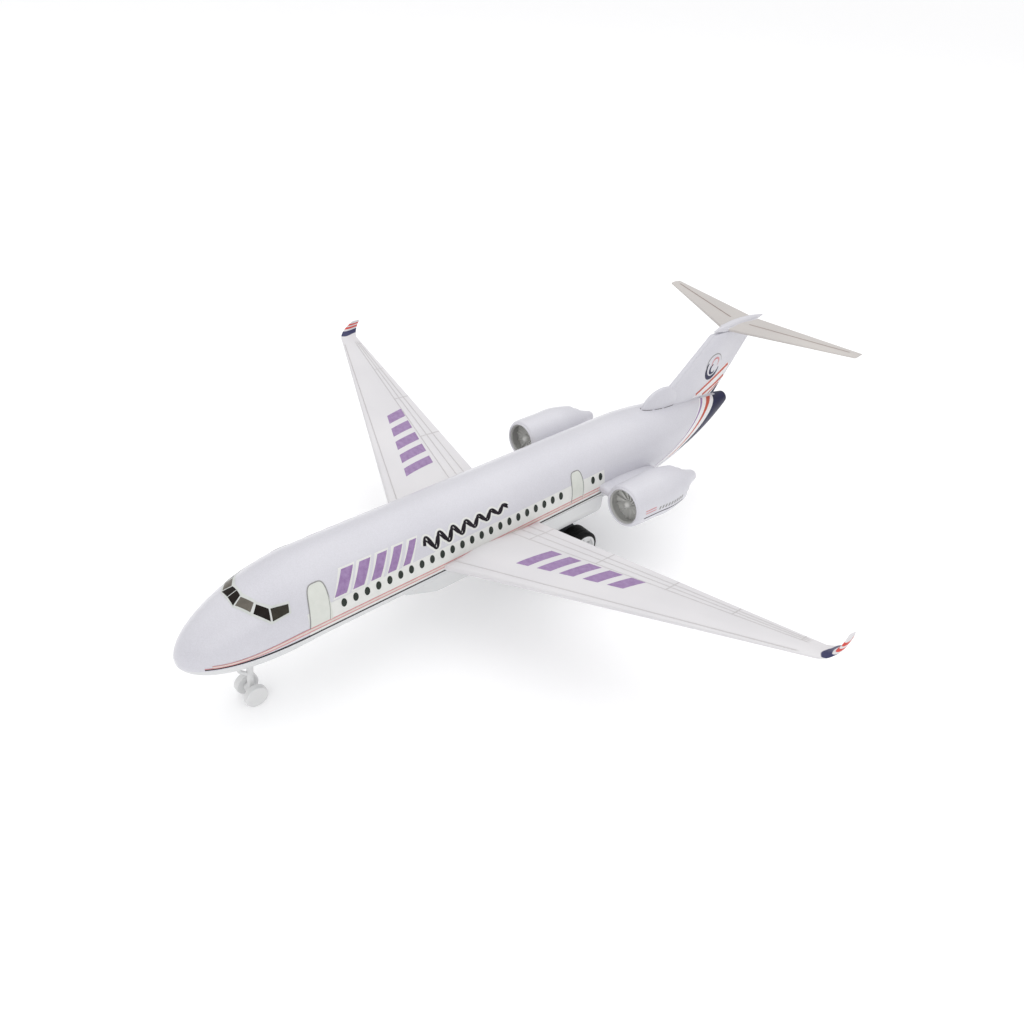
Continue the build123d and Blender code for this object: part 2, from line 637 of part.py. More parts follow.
def nose_gear_strut(outer):
    """The nose leg: a raked post with a fork of drag braces fore and aft and an axle boss."""
    top, foot = strut_ends()
    post = rod(foot, top, STRUT_RADIUS)
    half = NOSE_WHEEL_OFFSET - NOSE_WHEEL_WIDTH / 2 - 0.3
    boss = rod(foot - Vector(half, 0, 0), foot + Vector(half, 0, 0), NOSE_AXLE_RADIUS + AXLE_BOSS_WALL)
    knee = foot + (top - foot) * KNEE_SHARE
    elbow = knee + Vector(0, *ELBOW)
    fore = rod(knee, elbow, BRACE_RADIUS) + Pos(elbow) * Sphere(BRACE_RADIUS)
    fore += rod(elbow, elbow + Vector(0, *FORE_BRACE), BRACE_RADIUS)
    aft = rod(knee, knee + Vector(0, *AFT_BRACE), BRACE_RADIUS)
    leg = post + boss + (fore + aft - outer)
    leg = leg.solids().sort_by(Axis.Z)[0]
    return leg - rod(foot - Vector(9, 0, 0), foot + Vector(9, 0, 0), NOSE_AXLE_RADIUS + RUNNING)


def nose_axle():
    centre = floor_point(0, NOSE_GEAR_STATION, NOSE_WHEEL_RADIUS)
    half = Vector(NOSE_WHEEL_OFFSET + NOSE_WHEEL_WIDTH / 2 - 1, 0, 0)
    return rod(centre - half, centre + half, NOSE_AXLE_RADIUS)


def nose_wheel():
    """The port nose wheel: a plain disc with rounded shoulders and a blind hole for the axle."""
    centre = floor_point(NOSE_WHEEL_OFFSET - NOSE_WHEEL_WIDTH / 2, NOSE_GEAR_STATION, NOSE_WHEEL_RADIUS)
    disc = rod(centre, centre + Vector(NOSE_WHEEL_WIDTH, 0, 0), NOSE_WHEEL_RADIUS)
    disc = fillet(disc.edges(), NOSE_WHEEL_SHOULDER)
    return disc - nose_axle()


# --- main wheels


def main_axle_centre():
    return floor_point(0, MAIN_AXLE_STATION, TYRE_RADIUS)


def main_axle():
    half = Vector(WHEEL_FACE - HUB_DISH - 1.5, 0, 0)
    return rod(main_axle_centre() - half, main_axle_centre() + half, AXLE_RADIUS)


def main_tyre():
    """The port tyre: a ring with rounded shoulders."""
    inner = main_axle_centre() + Vector(WHEEL_FACE - WHEEL_WIDTH, 0, 0)
    face = main_axle_centre() + Vector(WHEEL_FACE, 0, 0)
    ring = fillet(rod(inner, face, TYRE_RADIUS).edges(), TYRE_SHOULDER)
    return ring - rod(inner, face, HUB_RADIUS)


def main_hub():
    """The port hub: a dished disc with a ring of round holes and a raised boss."""
    inner = main_axle_centre() + Vector(WHEEL_FACE - WHEEL_WIDTH, 0, 0)
    face = main_axle_centre() + Vector(WHEEL_FACE, 0, 0)
    floor = face - Vector(HUB_DISH, 0, 0)
    disc = rod(inner, face, HUB_RADIUS) - rod(floor, face, HUB_RADIUS - HUB_RIM)
    disc += rod(floor, floor + Vector(HUB_DISH - 0.4, 0, 0), HUB_BOSS_RADIUS)
    for number in range(HUB_HOLES):
        turn = 2 * pi * number / HUB_HOLES + pi / 2
        spot = floor + Vector(0, HUB_HOLE_CIRCLE * cos(turn), HUB_HOLE_CIRCLE * sin(turn))
        disc -= rod(spot - Vector(HUB_HOLE_DEPTH, 0, 0), spot, HUB_HOLE_RADIUS)
    return disc - main_axle()


# --- friction drive


def pitch_radius(teeth):
    return MODULE * teeth / 2


def tip_radius(teeth):
    return pitch_radius(teeth) + 0.9 * MODULE


def idler_centre():
    return main_axle_centre() + Vector(0, cos(IDLER_DIRECTION), sin(IDLER_DIRECTION)) * IDLER_REACH


def flywheel_centre():
    return idler_centre() + Vector(0, cos(FLYWHEEL_DIRECTION), sin(FLYWHEEL_DIRECTION)) * FLYWHEEL_REACH


def gear(centre, start, teeth, phase):
    """A spur gear with involute teeth: one tooth points along the phase angle."""
    pitch = pitch_radius(teeth)
    base = pitch * cos(PRESSURE_ANGLE)
    tip, root = tip_radius(teeth), pitch - 1.15 * MODULE
    half_tooth = pi / (2 * teeth) - TOOTH_THINNING / (2 * pitch)
    spread = half_tooth + tan(PRESSURE_ANGLE) - PRESSURE_ANGLE

    def flank_angle(radius):
        lean = acos(min(1, base / radius))
        return spread - tan(lean) + lean

    low = max(base, root)
    radii = [low + (tip - low) * step / 3 for step in range(4)]
    flank = [(root, flank_angle(low))] if root < low else []
    flank += [(radius, flank_angle(radius)) for radius in radii]
    tooth = [(radius, -angle) for radius, angle in flank]
    tooth += [(radius, angle) for radius, angle in reversed(flank)]
    points = []
    for number in range(teeth):
        turn = phase + 2 * pi * number / teeth
        points += [(radius * cos(turn + angle), radius * sin(turn + angle)) for radius, angle in tooth]
    plane = Plane(centre + Vector(start, 0, 0), x_dir=(0, 1, 0), z_dir=(1, 0, 0))
    return extrude(plane * make_face(Polyline(*points, close=True)), GEAR_WIDTH)


def axle_gear():
    """The large gear pressed on the main axle."""
    body = gear(main_axle_centre(), AXLE_GEAR_SIDE, AXLE_TEETH, IDLER_DIRECTION)
    return body - main_axle()


def idler_gear():
    """The double idler: a pinion beside a large gear, moulded in one piece."""
    gap_phase = IDLER_DIRECTION + pi + pi / PINION_TEETH
    pinion = gear(idler_centre(), AXLE_GEAR_SIDE, PINION_TEETH, gap_phase)
    large = gear(idler_centre(), IDLER_GEAR_SIDE, IDLER_TEETH, FLYWHEEL_DIRECTION)
    neck_start = idler_centre() + Vector(IDLER_GEAR_SIDE + GEAR_WIDTH, 0, 0)
    neck = rod(neck_start, idler_centre() + Vector(AXLE_GEAR_SIDE, 0, 0), pitch_radius(PINION_TEETH) - MODULE)
    return pinion + large + neck - drive_shaft(idler_centre())


def flywheel_pinion():
    gap_phase = FLYWHEEL_DIRECTION + pi + pi / PINION_TEETH
    return gear(flywheel_centre(), IDLER_GEAR_SIDE, PINION_TEETH, gap_phase) - drive_shaft(flywheel_centre())


def flywheel():
    """The heavy steel disc whose spin keeps the toy rolling."""
    end = flywheel_centre() + Vector(IDLER_GEAR_SIDE - GEAR_GAP, 0, 0)
    disc = rod(end - Vector(FLYWHEEL_WIDTH, 0, 0), end, FLYWHEEL_RADIUS)
    disc = fillet(disc.edges(), 0.5)
    return disc - drive_shaft(flywheel_centre())


def drive_shaft(centre):
    """A thin steel shaft that runs in both halves of the case."""
    half = Vector(CASE_HALF_WIDTH - 0.3, 0, 0)
    return rod(centre - half, centre + half, SHAFT_RADIUS)


def case_stations():
    """The three shaft centres of the drive with the cavity radius needed round each."""
    return [
        (main_axle_centre(), tip_radius(AXLE_TEETH) + CASE_GAP),
        (idler_centre(), tip_radius(IDLER_TEETH) + CASE_GAP),
        (flywheel_centre(), FLYWHEEL_RADIUS + CASE_GAP),
    ]


def case_outline(wall):
    """The rubber-band shape round the three shafts, seen from the side."""
    rings = []
    for centre, radius in case_stations():
        rings += (Pos(centre.Y, centre.Z) * Circle(radius + wall)).edges()
    return make_hull(rings)


def case_lugs():
    """Where the two screws that close the motor case run, above the belly."""
    reach = FLYWHEEL_RADIUS + CASE_GAP + CASE_WALL + 1
    rise = pad_top() + CASE_LUG_RISE - flywheel_centre().Z
    side = reach * cos(asin(rise / reach))
    return [flywheel_centre() + Vector(0, y, rise) for y in (-side, side)]


def pad_top():
    return BELLY_CLEARANCE + SHELL_WALL + MOTOR_PAD


def motor_span():
    """The y limits of the motor case where it passes through the belly."""
    front = flywheel_centre().Y - FLYWHEEL_RADIUS - CASE_GAP - CASE_WALL
    rear = idler_centre().Y + tip_radius(IDLER_TEETH) + CASE_GAP + CASE_WALL
    return front, rear


def motor_opening():
    """The belly opening that the motor case hangs through, and the thick pad round it."""
    front, rear = motor_span()
    half = CASE_HALF_WIDTH + SLIP
    opening = block(Vector(-half, front - SLIP, 0), Vector(half, rear + SLIP, pad_top()))
    margin = CASE_EAR_LENGTH
    low = Vector(-half - 3, front - margin, BELLY_CLEARANCE + 0.5 * SHELL_WALL)
    pad = block(low, Vector(half + 3, rear + margin, pad_top()))
    return opening, pad


def motor_screw_points():
    """The points on the pad where the four motor screws enter."""
    front, rear = motor_span()
    reach = CASE_EAR_LENGTH / 2 + 0.4
    return [Vector(x, y, pad_top()) for x in (-6, 6) for y in (front - reach, rear + reach)]


def motor_case(side):
    """One half of the motor case: cavity, bearing holes, screw lugs and ears that stand on the belly."""
    sign = SIDES[side]
    width = sign * CASE_HALF_WIDTH
    body = extrude(side_view() * case_outline(CASE_WALL), width, dir=(1, 0, 0))
    for lug in case_lugs():
        body += rod(lug, lug + Vector(width, 0, 0), CASE_LUG_RADIUS)
    front, rear = motor_span()
    top = pad_top() + CASE_EAR_THICKNESS
    inside = 12
    body += block(Vector(0, front - CASE_EAR_LENGTH, pad_top()), Vector(sign * 9, front + inside, top))
    body += block(Vector(0, rear - inside, pad_top()), Vector(sign * 9, rear + CASE_EAR_LENGTH, top))
    body -= extrude(side_view() * case_outline(0), width - sign * CASE_WALL, dir=(1, 0, 0))
    holes = [
        (main_axle_centre(), AXLE_RADIUS),
        (idler_centre(), SHAFT_RADIUS),
        (flywheel_centre(), SHAFT_RADIUS),
    ]
    for centre, radius in holes:
        body -= rod(centre, centre + Vector(2 * width, 0, 0), radius + RUNNING)
    for lug in case_lugs():
        body -= rod(lug, lug + Vector(width, 0, 0), SMALL_SCREW_SHANK)
    for point in motor_screw_points():
        body -= rod(point, point + Vector(0, 0, CASE_EAR_THICKNESS), SMALL_SCREW_SHANK + SLIP)
    return body


def small_screw(seat, direction, length):
    """A small screw whose head rests on the seat and whose shank runs along the direction."""
    screw = rod(seat, seat + direction * length, SMALL_SCREW_SHANK)
    return screw + rod(seat - direction * SMALL_SCREW_HEAD_HEIGHT, seat, SMALL_SCREW_HEAD)


def motor_case_screws():
    """The two screws across the motor case, entered from starboard."""
    start = Vector(-CASE_HALF_WIDTH, 0, 0)
    return Compound(children=[small_screw(lug + start, Vector(1, 0, 0), 18) for lug in case_lugs()])


def motor_mount_screws():
    """The four screws that hold the motor's ears down on the belly pad."""
    lift = Vector(0, 0, CASE_EAR_THICKNESS)
    down = Vector(0, 0, -1)
    length = CASE_EAR_THICKNESS + MOTOR_PAD + 0.6
    return Compound(children=[small_screw(point + lift, down, length) for point in motor_screw_points()])


# --- the whole aeroplane


def build():
    """Every sub-part by its node name."""
    outer = hull(0)
    inner = hull(SHELL_WALL)
    fin = tail_fin(outer)
    parts = {
        "fuselage_upper_shell": upper_shell(outer, inner),
        "fuselage_lower_shell": lower_shell(outer, inner),
        "fuselage_screws": case_screws(),
        "tail_fin": fin,
        "tailplane": tailplane(fin),
        "nose_gear_strut": nose_gear_strut(outer),
        "nose_axle": nose_axle(),
        "main_axle": main_axle(),
        "axle_gear": axle_gear(),
        "idler_gear": idler_gear(),
        "idler_shaft": drive_shaft(idler_centre()),
        "flywheel": flywheel(),
        "flywheel_pinion": flywheel_pinion(),
        "flywheel_shaft": drive_shaft(flywheel_centre()),
        "motor_case_screws": motor_case_screws(),
        "motor_mount_screws": motor_mount_screws(),
    }
    port_parts = {
        "wing": wing(outer),
        "engine_nacelle": nacelle(outer),
        "engine_fan": fan(),
        "exhaust_nozzle": exhaust_nozzle(),
        "nose_wheel": nose_wheel(),
        "main_tyre": main_tyre(),
        "main_hub": main_hub(),
    }
    for side in SIDES:
        parts[f"motor_case_{side}"] = motor_case(side)
        for name, part in port_parts.items():
            parts[f"{name}_{side}"] = mirrored(part, side)
    return parts


os.makedirs("parts", exist_ok=True)
for node, part in build().items():
    export_step(part, f"parts/{node}.step")
    size = part.bounding_box().size
    print(f"{node:24s} {size.X:7.1f} x {size.Y:6.1f} x {size.Z:6.1f} mm, {len(part.solids())} solids")
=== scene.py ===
# %% [markdown]
# # A toy airliner with a friction drive
# The toy is moulded in white plastic, sprayed with a pearl lacquer and dressed with vinyl labels.
# Its solid parts come from a CAD model. This lesson gives every part its finish and adds what
# the CAD leaves out: the thin labels, the printed stripes, the window panes and the intake rings.

# %% Load the CAD model
import bpy
import numpy as np
from mathutils import Matrix, Vector


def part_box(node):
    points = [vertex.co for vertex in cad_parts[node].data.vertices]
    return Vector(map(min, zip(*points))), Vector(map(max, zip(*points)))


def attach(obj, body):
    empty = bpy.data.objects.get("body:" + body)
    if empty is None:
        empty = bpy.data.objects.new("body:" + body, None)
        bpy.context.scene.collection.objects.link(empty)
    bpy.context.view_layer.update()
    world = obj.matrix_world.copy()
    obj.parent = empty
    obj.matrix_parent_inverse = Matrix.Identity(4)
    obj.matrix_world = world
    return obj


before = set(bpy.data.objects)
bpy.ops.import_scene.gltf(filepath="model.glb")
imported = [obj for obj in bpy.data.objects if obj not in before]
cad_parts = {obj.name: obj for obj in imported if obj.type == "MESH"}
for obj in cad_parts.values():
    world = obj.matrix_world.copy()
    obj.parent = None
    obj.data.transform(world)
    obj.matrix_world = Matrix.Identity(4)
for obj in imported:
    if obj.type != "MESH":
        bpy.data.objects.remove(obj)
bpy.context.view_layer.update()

# %% [markdown]
# ## Landmarks
# Aircraft drawings measure along the fuselage in stations, counted aft from the nose tip, and up and
# down in levels from the fuselage axis. With both taken from the CAD shell, every label
# can be placed in millimetres, as a label printer's drawing would give it.

# %% Stations and levels
MM = 0.001
shell_low, shell_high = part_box("fuselage_upper_shell")
BARREL = shell_high.x / MM
LENGTH, NOSE, TAIL = 400.0, 63.0, 110.0
TAIL_START = LENGTH - TAIL
STATION_ZERO = shell_high.y - LENGTH * MM
AXIS = shell_high.z - shell_high.x


def place(x, station, level):
    """A point from its sideways distance, its station and its level, all in millimetres."""
    x, station, level = np.broadcast_arrays(x, station, level)
    return np.stack([x * MM, STATION_ZERO + station * MM, AXIS + level * MM], axis=-1)


print("barrel radius", round(BARREL, 2), "mm, axis", round(AXIS / MM, 1), "mm above the floor")

# %% [markdown]
# ## The skin as a formula
# Labels lie on the fuselage skin, so they need its shape. One way is to project a flat sheet on the
# CAD mesh. The fuselage is round all along, though, so its skin is a short formula of two
# parameters, and a label made from that formula follows it exactly, however fine its grid is.

# %% A point on the fuselage skin
BLUNTNESS, DROOP, DROOP_POWER = 0.53, 8.35, 1.15
TAPER, TAPER_POWER, RISE, RISE_POWER = 19.8, 1.65, 4.9, 3


def skin_radius(station):
    """Barrel (1 - (1 - n)^2)^bluntness - taper t^power, n and t being the shares of nose and tail passed."""
    n = np.clip(station / NOSE, 0, 1)
    t = np.clip((station - TAIL_START) / TAIL, 0, 1)
    return BARREL * (1 - (1 - n) ** 2) ** BLUNTNESS - TAPER * t**TAPER_POWER


def skin_level(station):
    """Level of the section's centre = rise t^power - droop (1 - n)^power."""
    n = np.clip(station / NOSE, 0, 1)
    t = np.clip((station - TAIL_START) / TAIL, 0, 1)
    return RISE * t**RISE_POWER - DROOP * (1 - n) ** DROOP_POWER


def on_skin(station, angle, lift):
    """Sideways (r + lift) cos(angle), up centre + (r + lift) sin(angle), the angle from port in degrees."""
    radius = skin_radius(station) + lift
    turn = np.radians(angle)
    return place(radius * np.cos(turn), station, skin_level(station) + radius * np.sin(turn))


# %% [markdown]
# ## From a grid of points to a label
# Every new piece here is a grid of points. The quads between neighbours are found with array slices,
# so no loop walks over the vertices. A vinyl label has a little thickness, which the Solidify modifier
# adds inwards. Its result is kept as the mesh, so that the sharp rim can be marked.

# %% Grids into meshes
def mirrored(points):
    """The same grid on the other side: x changes sign, and reversed columns keep the faces outwards."""
    return points[..., ::-1, :] * np.array([-1.0, 1.0, 1.0])


def keep_modifiers(piece, sharp=40.0):
    """Replaces a piece's mesh by what its modifiers make of it, smooth apart from its sharp edges."""
    graph = bpy.context.evaluated_depsgraph_get()
    finished = bpy.data.meshes.new_from_object(piece.evaluated_get(graph))
    piece.modifiers.clear()
    piece.data = finished
    finished.name = piece.name
    finished.shade_smooth()
    finished.set_sharp_from_angle(angle=np.radians(sharp))


def sheet(name, points, material, thickness=0.06, target=None, axis="Z", lift=0.06, towards=-1):
    """A thin piece from grids x rows x columns x 3 points; with a target it first drops on to that node."""
    points = np.asarray(points, float)
    points = points.reshape((-1,) + points.shape[-3:])
    grids, rows, columns = points.shape[:3]
    index = np.arange(grids * rows * columns).reshape(grids, rows, columns)
    corners = [index[:, :-1, :-1], index[:, 1:, :-1], index[:, 1:, 1:], index[:, :-1, 1:]]
    mesh = bpy.data.meshes.new(name)
    mesh.from_pydata(points.reshape(-1, 3), [], np.stack(corners, axis=-1).reshape(-1, 4))
    mesh.materials.append(material)
    piece = bpy.data.objects.new(name, mesh)
    bpy.context.scene.collection.objects.link(piece)
    if target:
        wrap = piece.modifiers.new("Lay down", "SHRINKWRAP")
        wrap.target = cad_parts[target]
        wrap.wrap_method = "PROJECT"
        wrap.wrap_mode = "ABOVE_SURFACE"
        wrap.use_project_x = axis == "X"
        wrap.use_project_z = axis == "Z"
        wrap.use_negative_direction = towards < 0
        wrap.use_positive_direction = towards > 0
        wrap.offset = lift * MM
    if thickness:
        solid = piece.modifiers.new("Thickness", "SOLIDIFY")
        solid.thickness = thickness * MM
        solid.offset = -1
    bpy.context.view_layer.update()
    keep_modifiers(piece)
    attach(piece, "airframe")
    print(f"{name}: {len(piece.data.polygons)} faces")
    return piece


def both_sides(name, points, material, **settings):
    """A port piece and its mirror image to starboard."""
    return [
        sheet(name + "_port", points, material, **settings),
        sheet(name + "_starboard", mirrored(np.asarray(points)), material, **settings),
    ]


# %% [markdown]
# ## Shapes on flat paper
# A label is drawn flat and then wrapped. Three shapes are enough for this livery: a four-sided
# patch, an oval and a stroke drawn with a pen of changing width. Each gives pairs of paper coordinates,
# and one more function carries paper to skin, where a millimetre on paper is a millimetre of arc.

# %% Patches, ovals and strokes
def patch(corners, rows=24, columns=24):
    """Bilinear: the corners in turn, weighted by u or 1 - u times v or 1 - v."""
    a, b, c, d = (np.array(corner, float) for corner in corners)
    u = np.linspace(0, 1, rows)[:, None, None]
    v = np.linspace(0, 1, columns)[None, :, None]
    return (1 - v) * ((1 - u) * a + u * b) + v * ((1 - u) * d + u * c)


def oval(centre, half_width, half_height, count=13):
    """A square grid pressed into a disc, (u sqrt(1 - v^2/2), v sqrt(1 - u^2/2)), then stretched: no pole."""
    u, v = np.meshgrid(np.linspace(-1, 1, count), np.linspace(-1, 1, count), indexing="ij")
    disc = np.stack([u * np.sqrt(1 - v**2 / 2), v * np.sqrt(1 - u**2 / 2)], axis=-1)
    return np.asarray(centre, float)[..., None, None, :] + disc * np.array([half_width, half_height])


def stroke(path, width, columns=4):
    """A pen line: the path plus and minus half the width along its normal, the tangent turned a quarter."""
    path = np.asarray(path, float)
    tangent = np.gradient(path, axis=0)
    tangent /= np.linalg.norm(tangent, axis=1, keepdims=True)
    normal = np.stack([-tangent[:, 1], tangent[:, 0]], axis=-1)
    across = np.linspace(-0.5, 0.5, columns)[None, :, None] * np.broadcast_to(width, len(path))[:, None, None]
    return path[:, None, :] + across * normal[:, None, :]


def wrap(paper, lift):
    """Paper (station, arc) to skin: the angle is the arc divided by the barrel's radius."""
    return on_skin(paper[..., 0], np.degrees(paper[..., 1] / BARREL), lift)


def arc(angle):
    """Millimetres of paper for an angle in degrees."""
    return np.radians(angle) * BARREL


# %% [markdown]
# ## Moulded and lacquered plastic
# Even a plain white toy is not one flat colour. The lacquer has a faint orange peel,
# handling leaves the gloss uneven, and the pigment drifts a little from place to place. A Principled
# shader gets each of these from its own Noise texture in Object coordinates, so the pattern stays
# on the part when it turns. Image textures would do it too, but need unwrapping and files.

# %% Material helpers
def linear(*colour):
    """An sRGB colour of 0 to 255 as the linear values that shaders use."""
    share = np.array(colour, float) / 255
    return (*np.where(share <= 0.04045, share / 12.92, ((share + 0.055) / 1.055) ** 2.4), 1.0)


class Recipe:
    """A material and the few kinds of node that all finishes here are built from."""

    def __init__(self, name):
        self.material = bpy.data.materials.new(name)
        self.material.use_nodes = True
        self.tree = self.material.node_tree
        self.shader = self.tree.nodes["Principled BSDF"]
        self.object = self.add("ShaderNodeTexCoord").outputs["Object"]
        self.height = None

    def add(self, kind, inputs=(), **settings):
        node = self.tree.nodes.new(kind)
        for key, value in settings.items():
            setattr(node, key, value)
        for key, value in dict(inputs).items():
            self.put(node.inputs[key], value)
        return node

    def put(self, socket, value):
        if isinstance(value, bpy.types.NodeSocket):
            self.tree.links.new(value, socket)
        else:
            socket.default_value = value

    def set(self, **values):
        for key, value in values.items():
            self.put(self.shader.inputs[key.replace("_", " ")], value)

    def math(self, operation, a, b=0.0, c=0.0, clamp=False):
        return self.add("ShaderNodeMath", {0: a, 1: b, 2: c}, operation=operation, use_clamp=clamp).outputs[0]

    def noise(self, scale, detail=3.0, roughness=0.5, coordinates=None):
        inputs = {"Vector": coordinates or self.object, "Scale": scale}
        inputs.update({"Detail": detail, "Roughness": roughness})
        return self.add("ShaderNodeTexNoise", inputs).outputs["Fac"]

    def ramp(self, value, low, high, start, end):
        """Straight-line change from start to end while the value goes from low to high."""
        inputs = {"Value": value, "From Min": low, "From Max": high, "To Min": start, "To Max": end}
        return self.add("ShaderNodeMapRange", inputs).outputs["Result"]

    def mix(self, share, first, second):
        node = self.add("ShaderNodeMix", data_type="RGBA")
        for key, value in (("Factor_Float", share), ("A_Color", first), ("B_Color", second)):
            self.put(next(s for s in node.inputs if s.identifier == key), value)
        return next(s for s in node.outputs if s.identifier == "Result_Color")

    def band(self, value, centre, half, soft):
        """1 within half of the centre, 0 further off than half + soft."""
        away = self.math("ABSOLUTE", self.math("SUBTRACT", value, centre))
        return self.ramp(away, half, half + soft, 1.0, 0.0)

    def bump(self, height, strength, distance):
        """Adds a relief on top of those already there; the distance is its depth in metres."""
        inputs = {"Height": height, "Strength": strength, "Distance": distance}
        if self.height:
            inputs["Normal"] = self.height
        self.height = self.add("ShaderNodeBump", inputs).outputs["Normal"]
        self.put(self.shader.inputs["Normal"], self.height)


def plastic(name, colour, shade, gloss=0.36, peel=0.12, coat=0.0, grain=900.0, scuffs=0.05):
    """Moulded plastic: broad colour drift, orange peel, and a roughness that fine scuffs make uneven."""
    recipe = Recipe(name)
    drift = recipe.ramp(recipe.noise(14.0, 4.0), 0.35, 0.65, 0.0, 1.0)
    recipe.colour = recipe.mix(drift, linear(*colour), linear(*shade))
    recipe.set(Base_Color=recipe.colour, Coat_Weight=coat, Coat_Roughness=0.18)
    worn = recipe.noise(130.0, 8.0, 0.72)
    recipe.set(Roughness=recipe.ramp(worn, 0.35, 0.7, gloss - scuffs, gloss + scuffs))
    recipe.bump(recipe.noise(grain, 2.0), peel, 0.00012)
    return recipe


# %% [markdown]
# ## Pearl lacquer
# The upper shell, the fin and the engine cowls are lavender white with a soft pearl. Real pearl
# lacquer holds mica flakes. Tiny Voronoi cells stand for them: each cell's random value lightens
# or cools the colour by a few percent, too little to see one by one, enough to soften the shine.

# %% Pearl on the shells
PEARL = (206, 205, 211)
pearl = plastic("pearl lacquer", PEARL, (199, 198, 205), gloss=0.34, coat=0.35)
flakes = pearl.add("ShaderNodeTexVoronoi", {"Vector": pearl.object, "Scale": 2600.0}).outputs["Color"]
flake = pearl.add("ShaderNodeSeparateColor", {"Color": flakes}).outputs["Red"]
pearl.set(Base_Color=pearl.mix(pearl.ramp(flake, 0.0, 1.0, 0.0, 0.16), pearl.colour, linear(236, 236, 246)))
white = plastic("white moulding", (221, 221, 221), (212, 213, 214), gloss=0.4)
nylon = plastic("nylon gear", (222, 214, 190), (205, 196, 170), gloss=0.45, peel=0.2)
dark_case = plastic("motor case plastic", (66, 70, 78), (54, 57, 64), gloss=0.5, peel=0.25, grain=1500.0)

# %% [markdown]
# ## Panel lines in the wings
# Real flaps, slats and ailerons show as hairlines, which the toy's mould cuts as fine grooves. They follow
# the wing's taper, so the pattern needs to know how far along the chord a point is. The same
# straight-line formulas that give the wing its leading edge and its chord give that share inside
# the node tree, and a groove is wherever the share comes near a chosen value.

# %% Wing finish
WING_FRONT, WING_SWEEP, WING_END = 135.8, 0.418, 193.0
ROOT_CHORD, TIP_CHORD = 66.4, 11.8
FLAP_LINE = 0.70
wing = plastic("wing moulding", (219, 217, 219), (211, 209, 212), gloss=0.42)
place_in_wing = wing.add("ShaderNodeSeparateXYZ", {"Vector": wing.object})
span = wing.math("MULTIPLY", wing.math("ABSOLUTE", place_in_wing.outputs["X"]), 1 / MM)
station = wing.math("MULTIPLY", wing.math("SUBTRACT", place_in_wing.outputs["Y"], STATION_ZERO), 1 / MM)
outward = wing.math("SUBTRACT", span, BARREL)
chord = wing.math("MULTIPLY_ADD", outward, (TIP_CHORD - ROOT_CHORD) / (WING_END - BARREL), ROOT_CHORD)
behind = wing.math("SUBTRACT", station, wing.math("MULTIPLY_ADD", outward, WING_SWEEP, WING_FRONT))
share = wing.math("DIVIDE", behind, chord)
inner = wing.ramp(span, 186.0, 188.0, 1.0, 0.0)
grooves = 0.0
for line in (0.09, FLAP_LINE, 0.80, 0.89):
    away = wing.math("MULTIPLY", wing.math("ABSOLUTE", wing.math("SUBTRACT", share, line)), chord)
    grooves = wing.math("MAXIMUM", grooves, wing.ramp(away, 0.12, 0.42, 1.0, 0.0))
rear = wing.math("GREATER_THAN", share, FLAP_LINE)
for cut in (36.0, 78.0, 118.0, 152.0, 184.0):
    grooves = wing.math("MAXIMUM", grooves, wing.math("MULTIPLY", wing.band(span, cut, 0.12, 0.3), rear))
grooves = wing.math("MULTIPLY", grooves, inner)
wing.bump(wing.math("SUBTRACT", 1.0, grooves), 0.8, 0.0003)
# Painted shade: the grooves are darkened towards a warm grey, as shade falls in a recess.
groove_shade = wing.math("MULTIPLY", grooves, 0.3)
painted = wing.mix(groove_shade, wing.colour, linear(150, 140, 132))

# %% [markdown]
# ## Bands on the winglets
# The upturned tips carry a navy band and two red ones, printed all round. They lie one above another,
# so each is a range of depth below the winglet's top, kept to the winglet by a second range across the span.

# %% Winglet bands
winglet_low, winglet_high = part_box("wing_port")
height = wing.math("MULTIPLY", wing.math("SUBTRACT", place_in_wing.outputs["Z"], winglet_high.z), 1 / MM)
at_tip = wing.math("GREATER_THAN", span, WING_END + 0.6)
BAND_NAVY, BAND_RED = (36, 38, 84), (206, 74, 66)
for colour, depth, half in ((BAND_NAVY, -6.6, 0.95), (BAND_RED, -4.1, 0.5), (BAND_RED, -2.2, 0.5)):
    inked = wing.math("MULTIPLY", wing.band(height, depth, half, 0.15), at_tip)
    painted = wing.mix(inked, painted, linear(*colour))
wing.set(Base_Color=painted)
print("winglet top", round(winglet_high.z / MM, 1), "mm above the floor")

# %% [markdown]
# ## Hinge line of the tailplane
# Each half of the tailplane has one long groove where the elevator would hinge. A warm tint runs along
# it, and the groove itself is darkened with painted shade, so it reads as a thin warm line. The fairing
# over the fin is pearl like the fin: it is one moulding with the tailplane, so its colour is a range of
# distance from the middle.

# %% Tailplane finish
TAILPLANE_FRONT, TAILPLANE_SWEEP, TAILPLANE_HALF_SPAN = 383.5, 37.0, 76.0
TAILPLANE_ROOT, TAILPLANE_TIP = 34.0, 9.5
HINGE_AT_ROOT, HINGE_AT_TIP = 0.45, 0.55
tail = plastic("tailplane moulding", (199, 194, 190), (190, 185, 182), gloss=0.42)
place_in_tail = tail.add("ShaderNodeSeparateXYZ", {"Vector": tail.object})
reach = tail.math("MULTIPLY", tail.math("ABSOLUTE", place_in_tail.outputs["X"]), 1 / MM)
aft = tail.math("MULTIPLY", tail.math("SUBTRACT", place_in_tail.outputs["Y"], STATION_ZERO), 1 / MM)
hinge_root = TAILPLANE_FRONT + HINGE_AT_ROOT * TAILPLANE_ROOT
hinge_tip = TAILPLANE_FRONT + TAILPLANE_SWEEP + HINGE_AT_TIP * TAILPLANE_TIP
hinge = tail.math("MULTIPLY_ADD", reach, (hinge_tip - hinge_root) / TAILPLANE_HALF_SPAN, hinge_root)
on_hinge = tail.band(reach, 39.0, 31.0, 0.6)
gap = tail.math("ABSOLUTE", tail.math("SUBTRACT", aft, hinge))
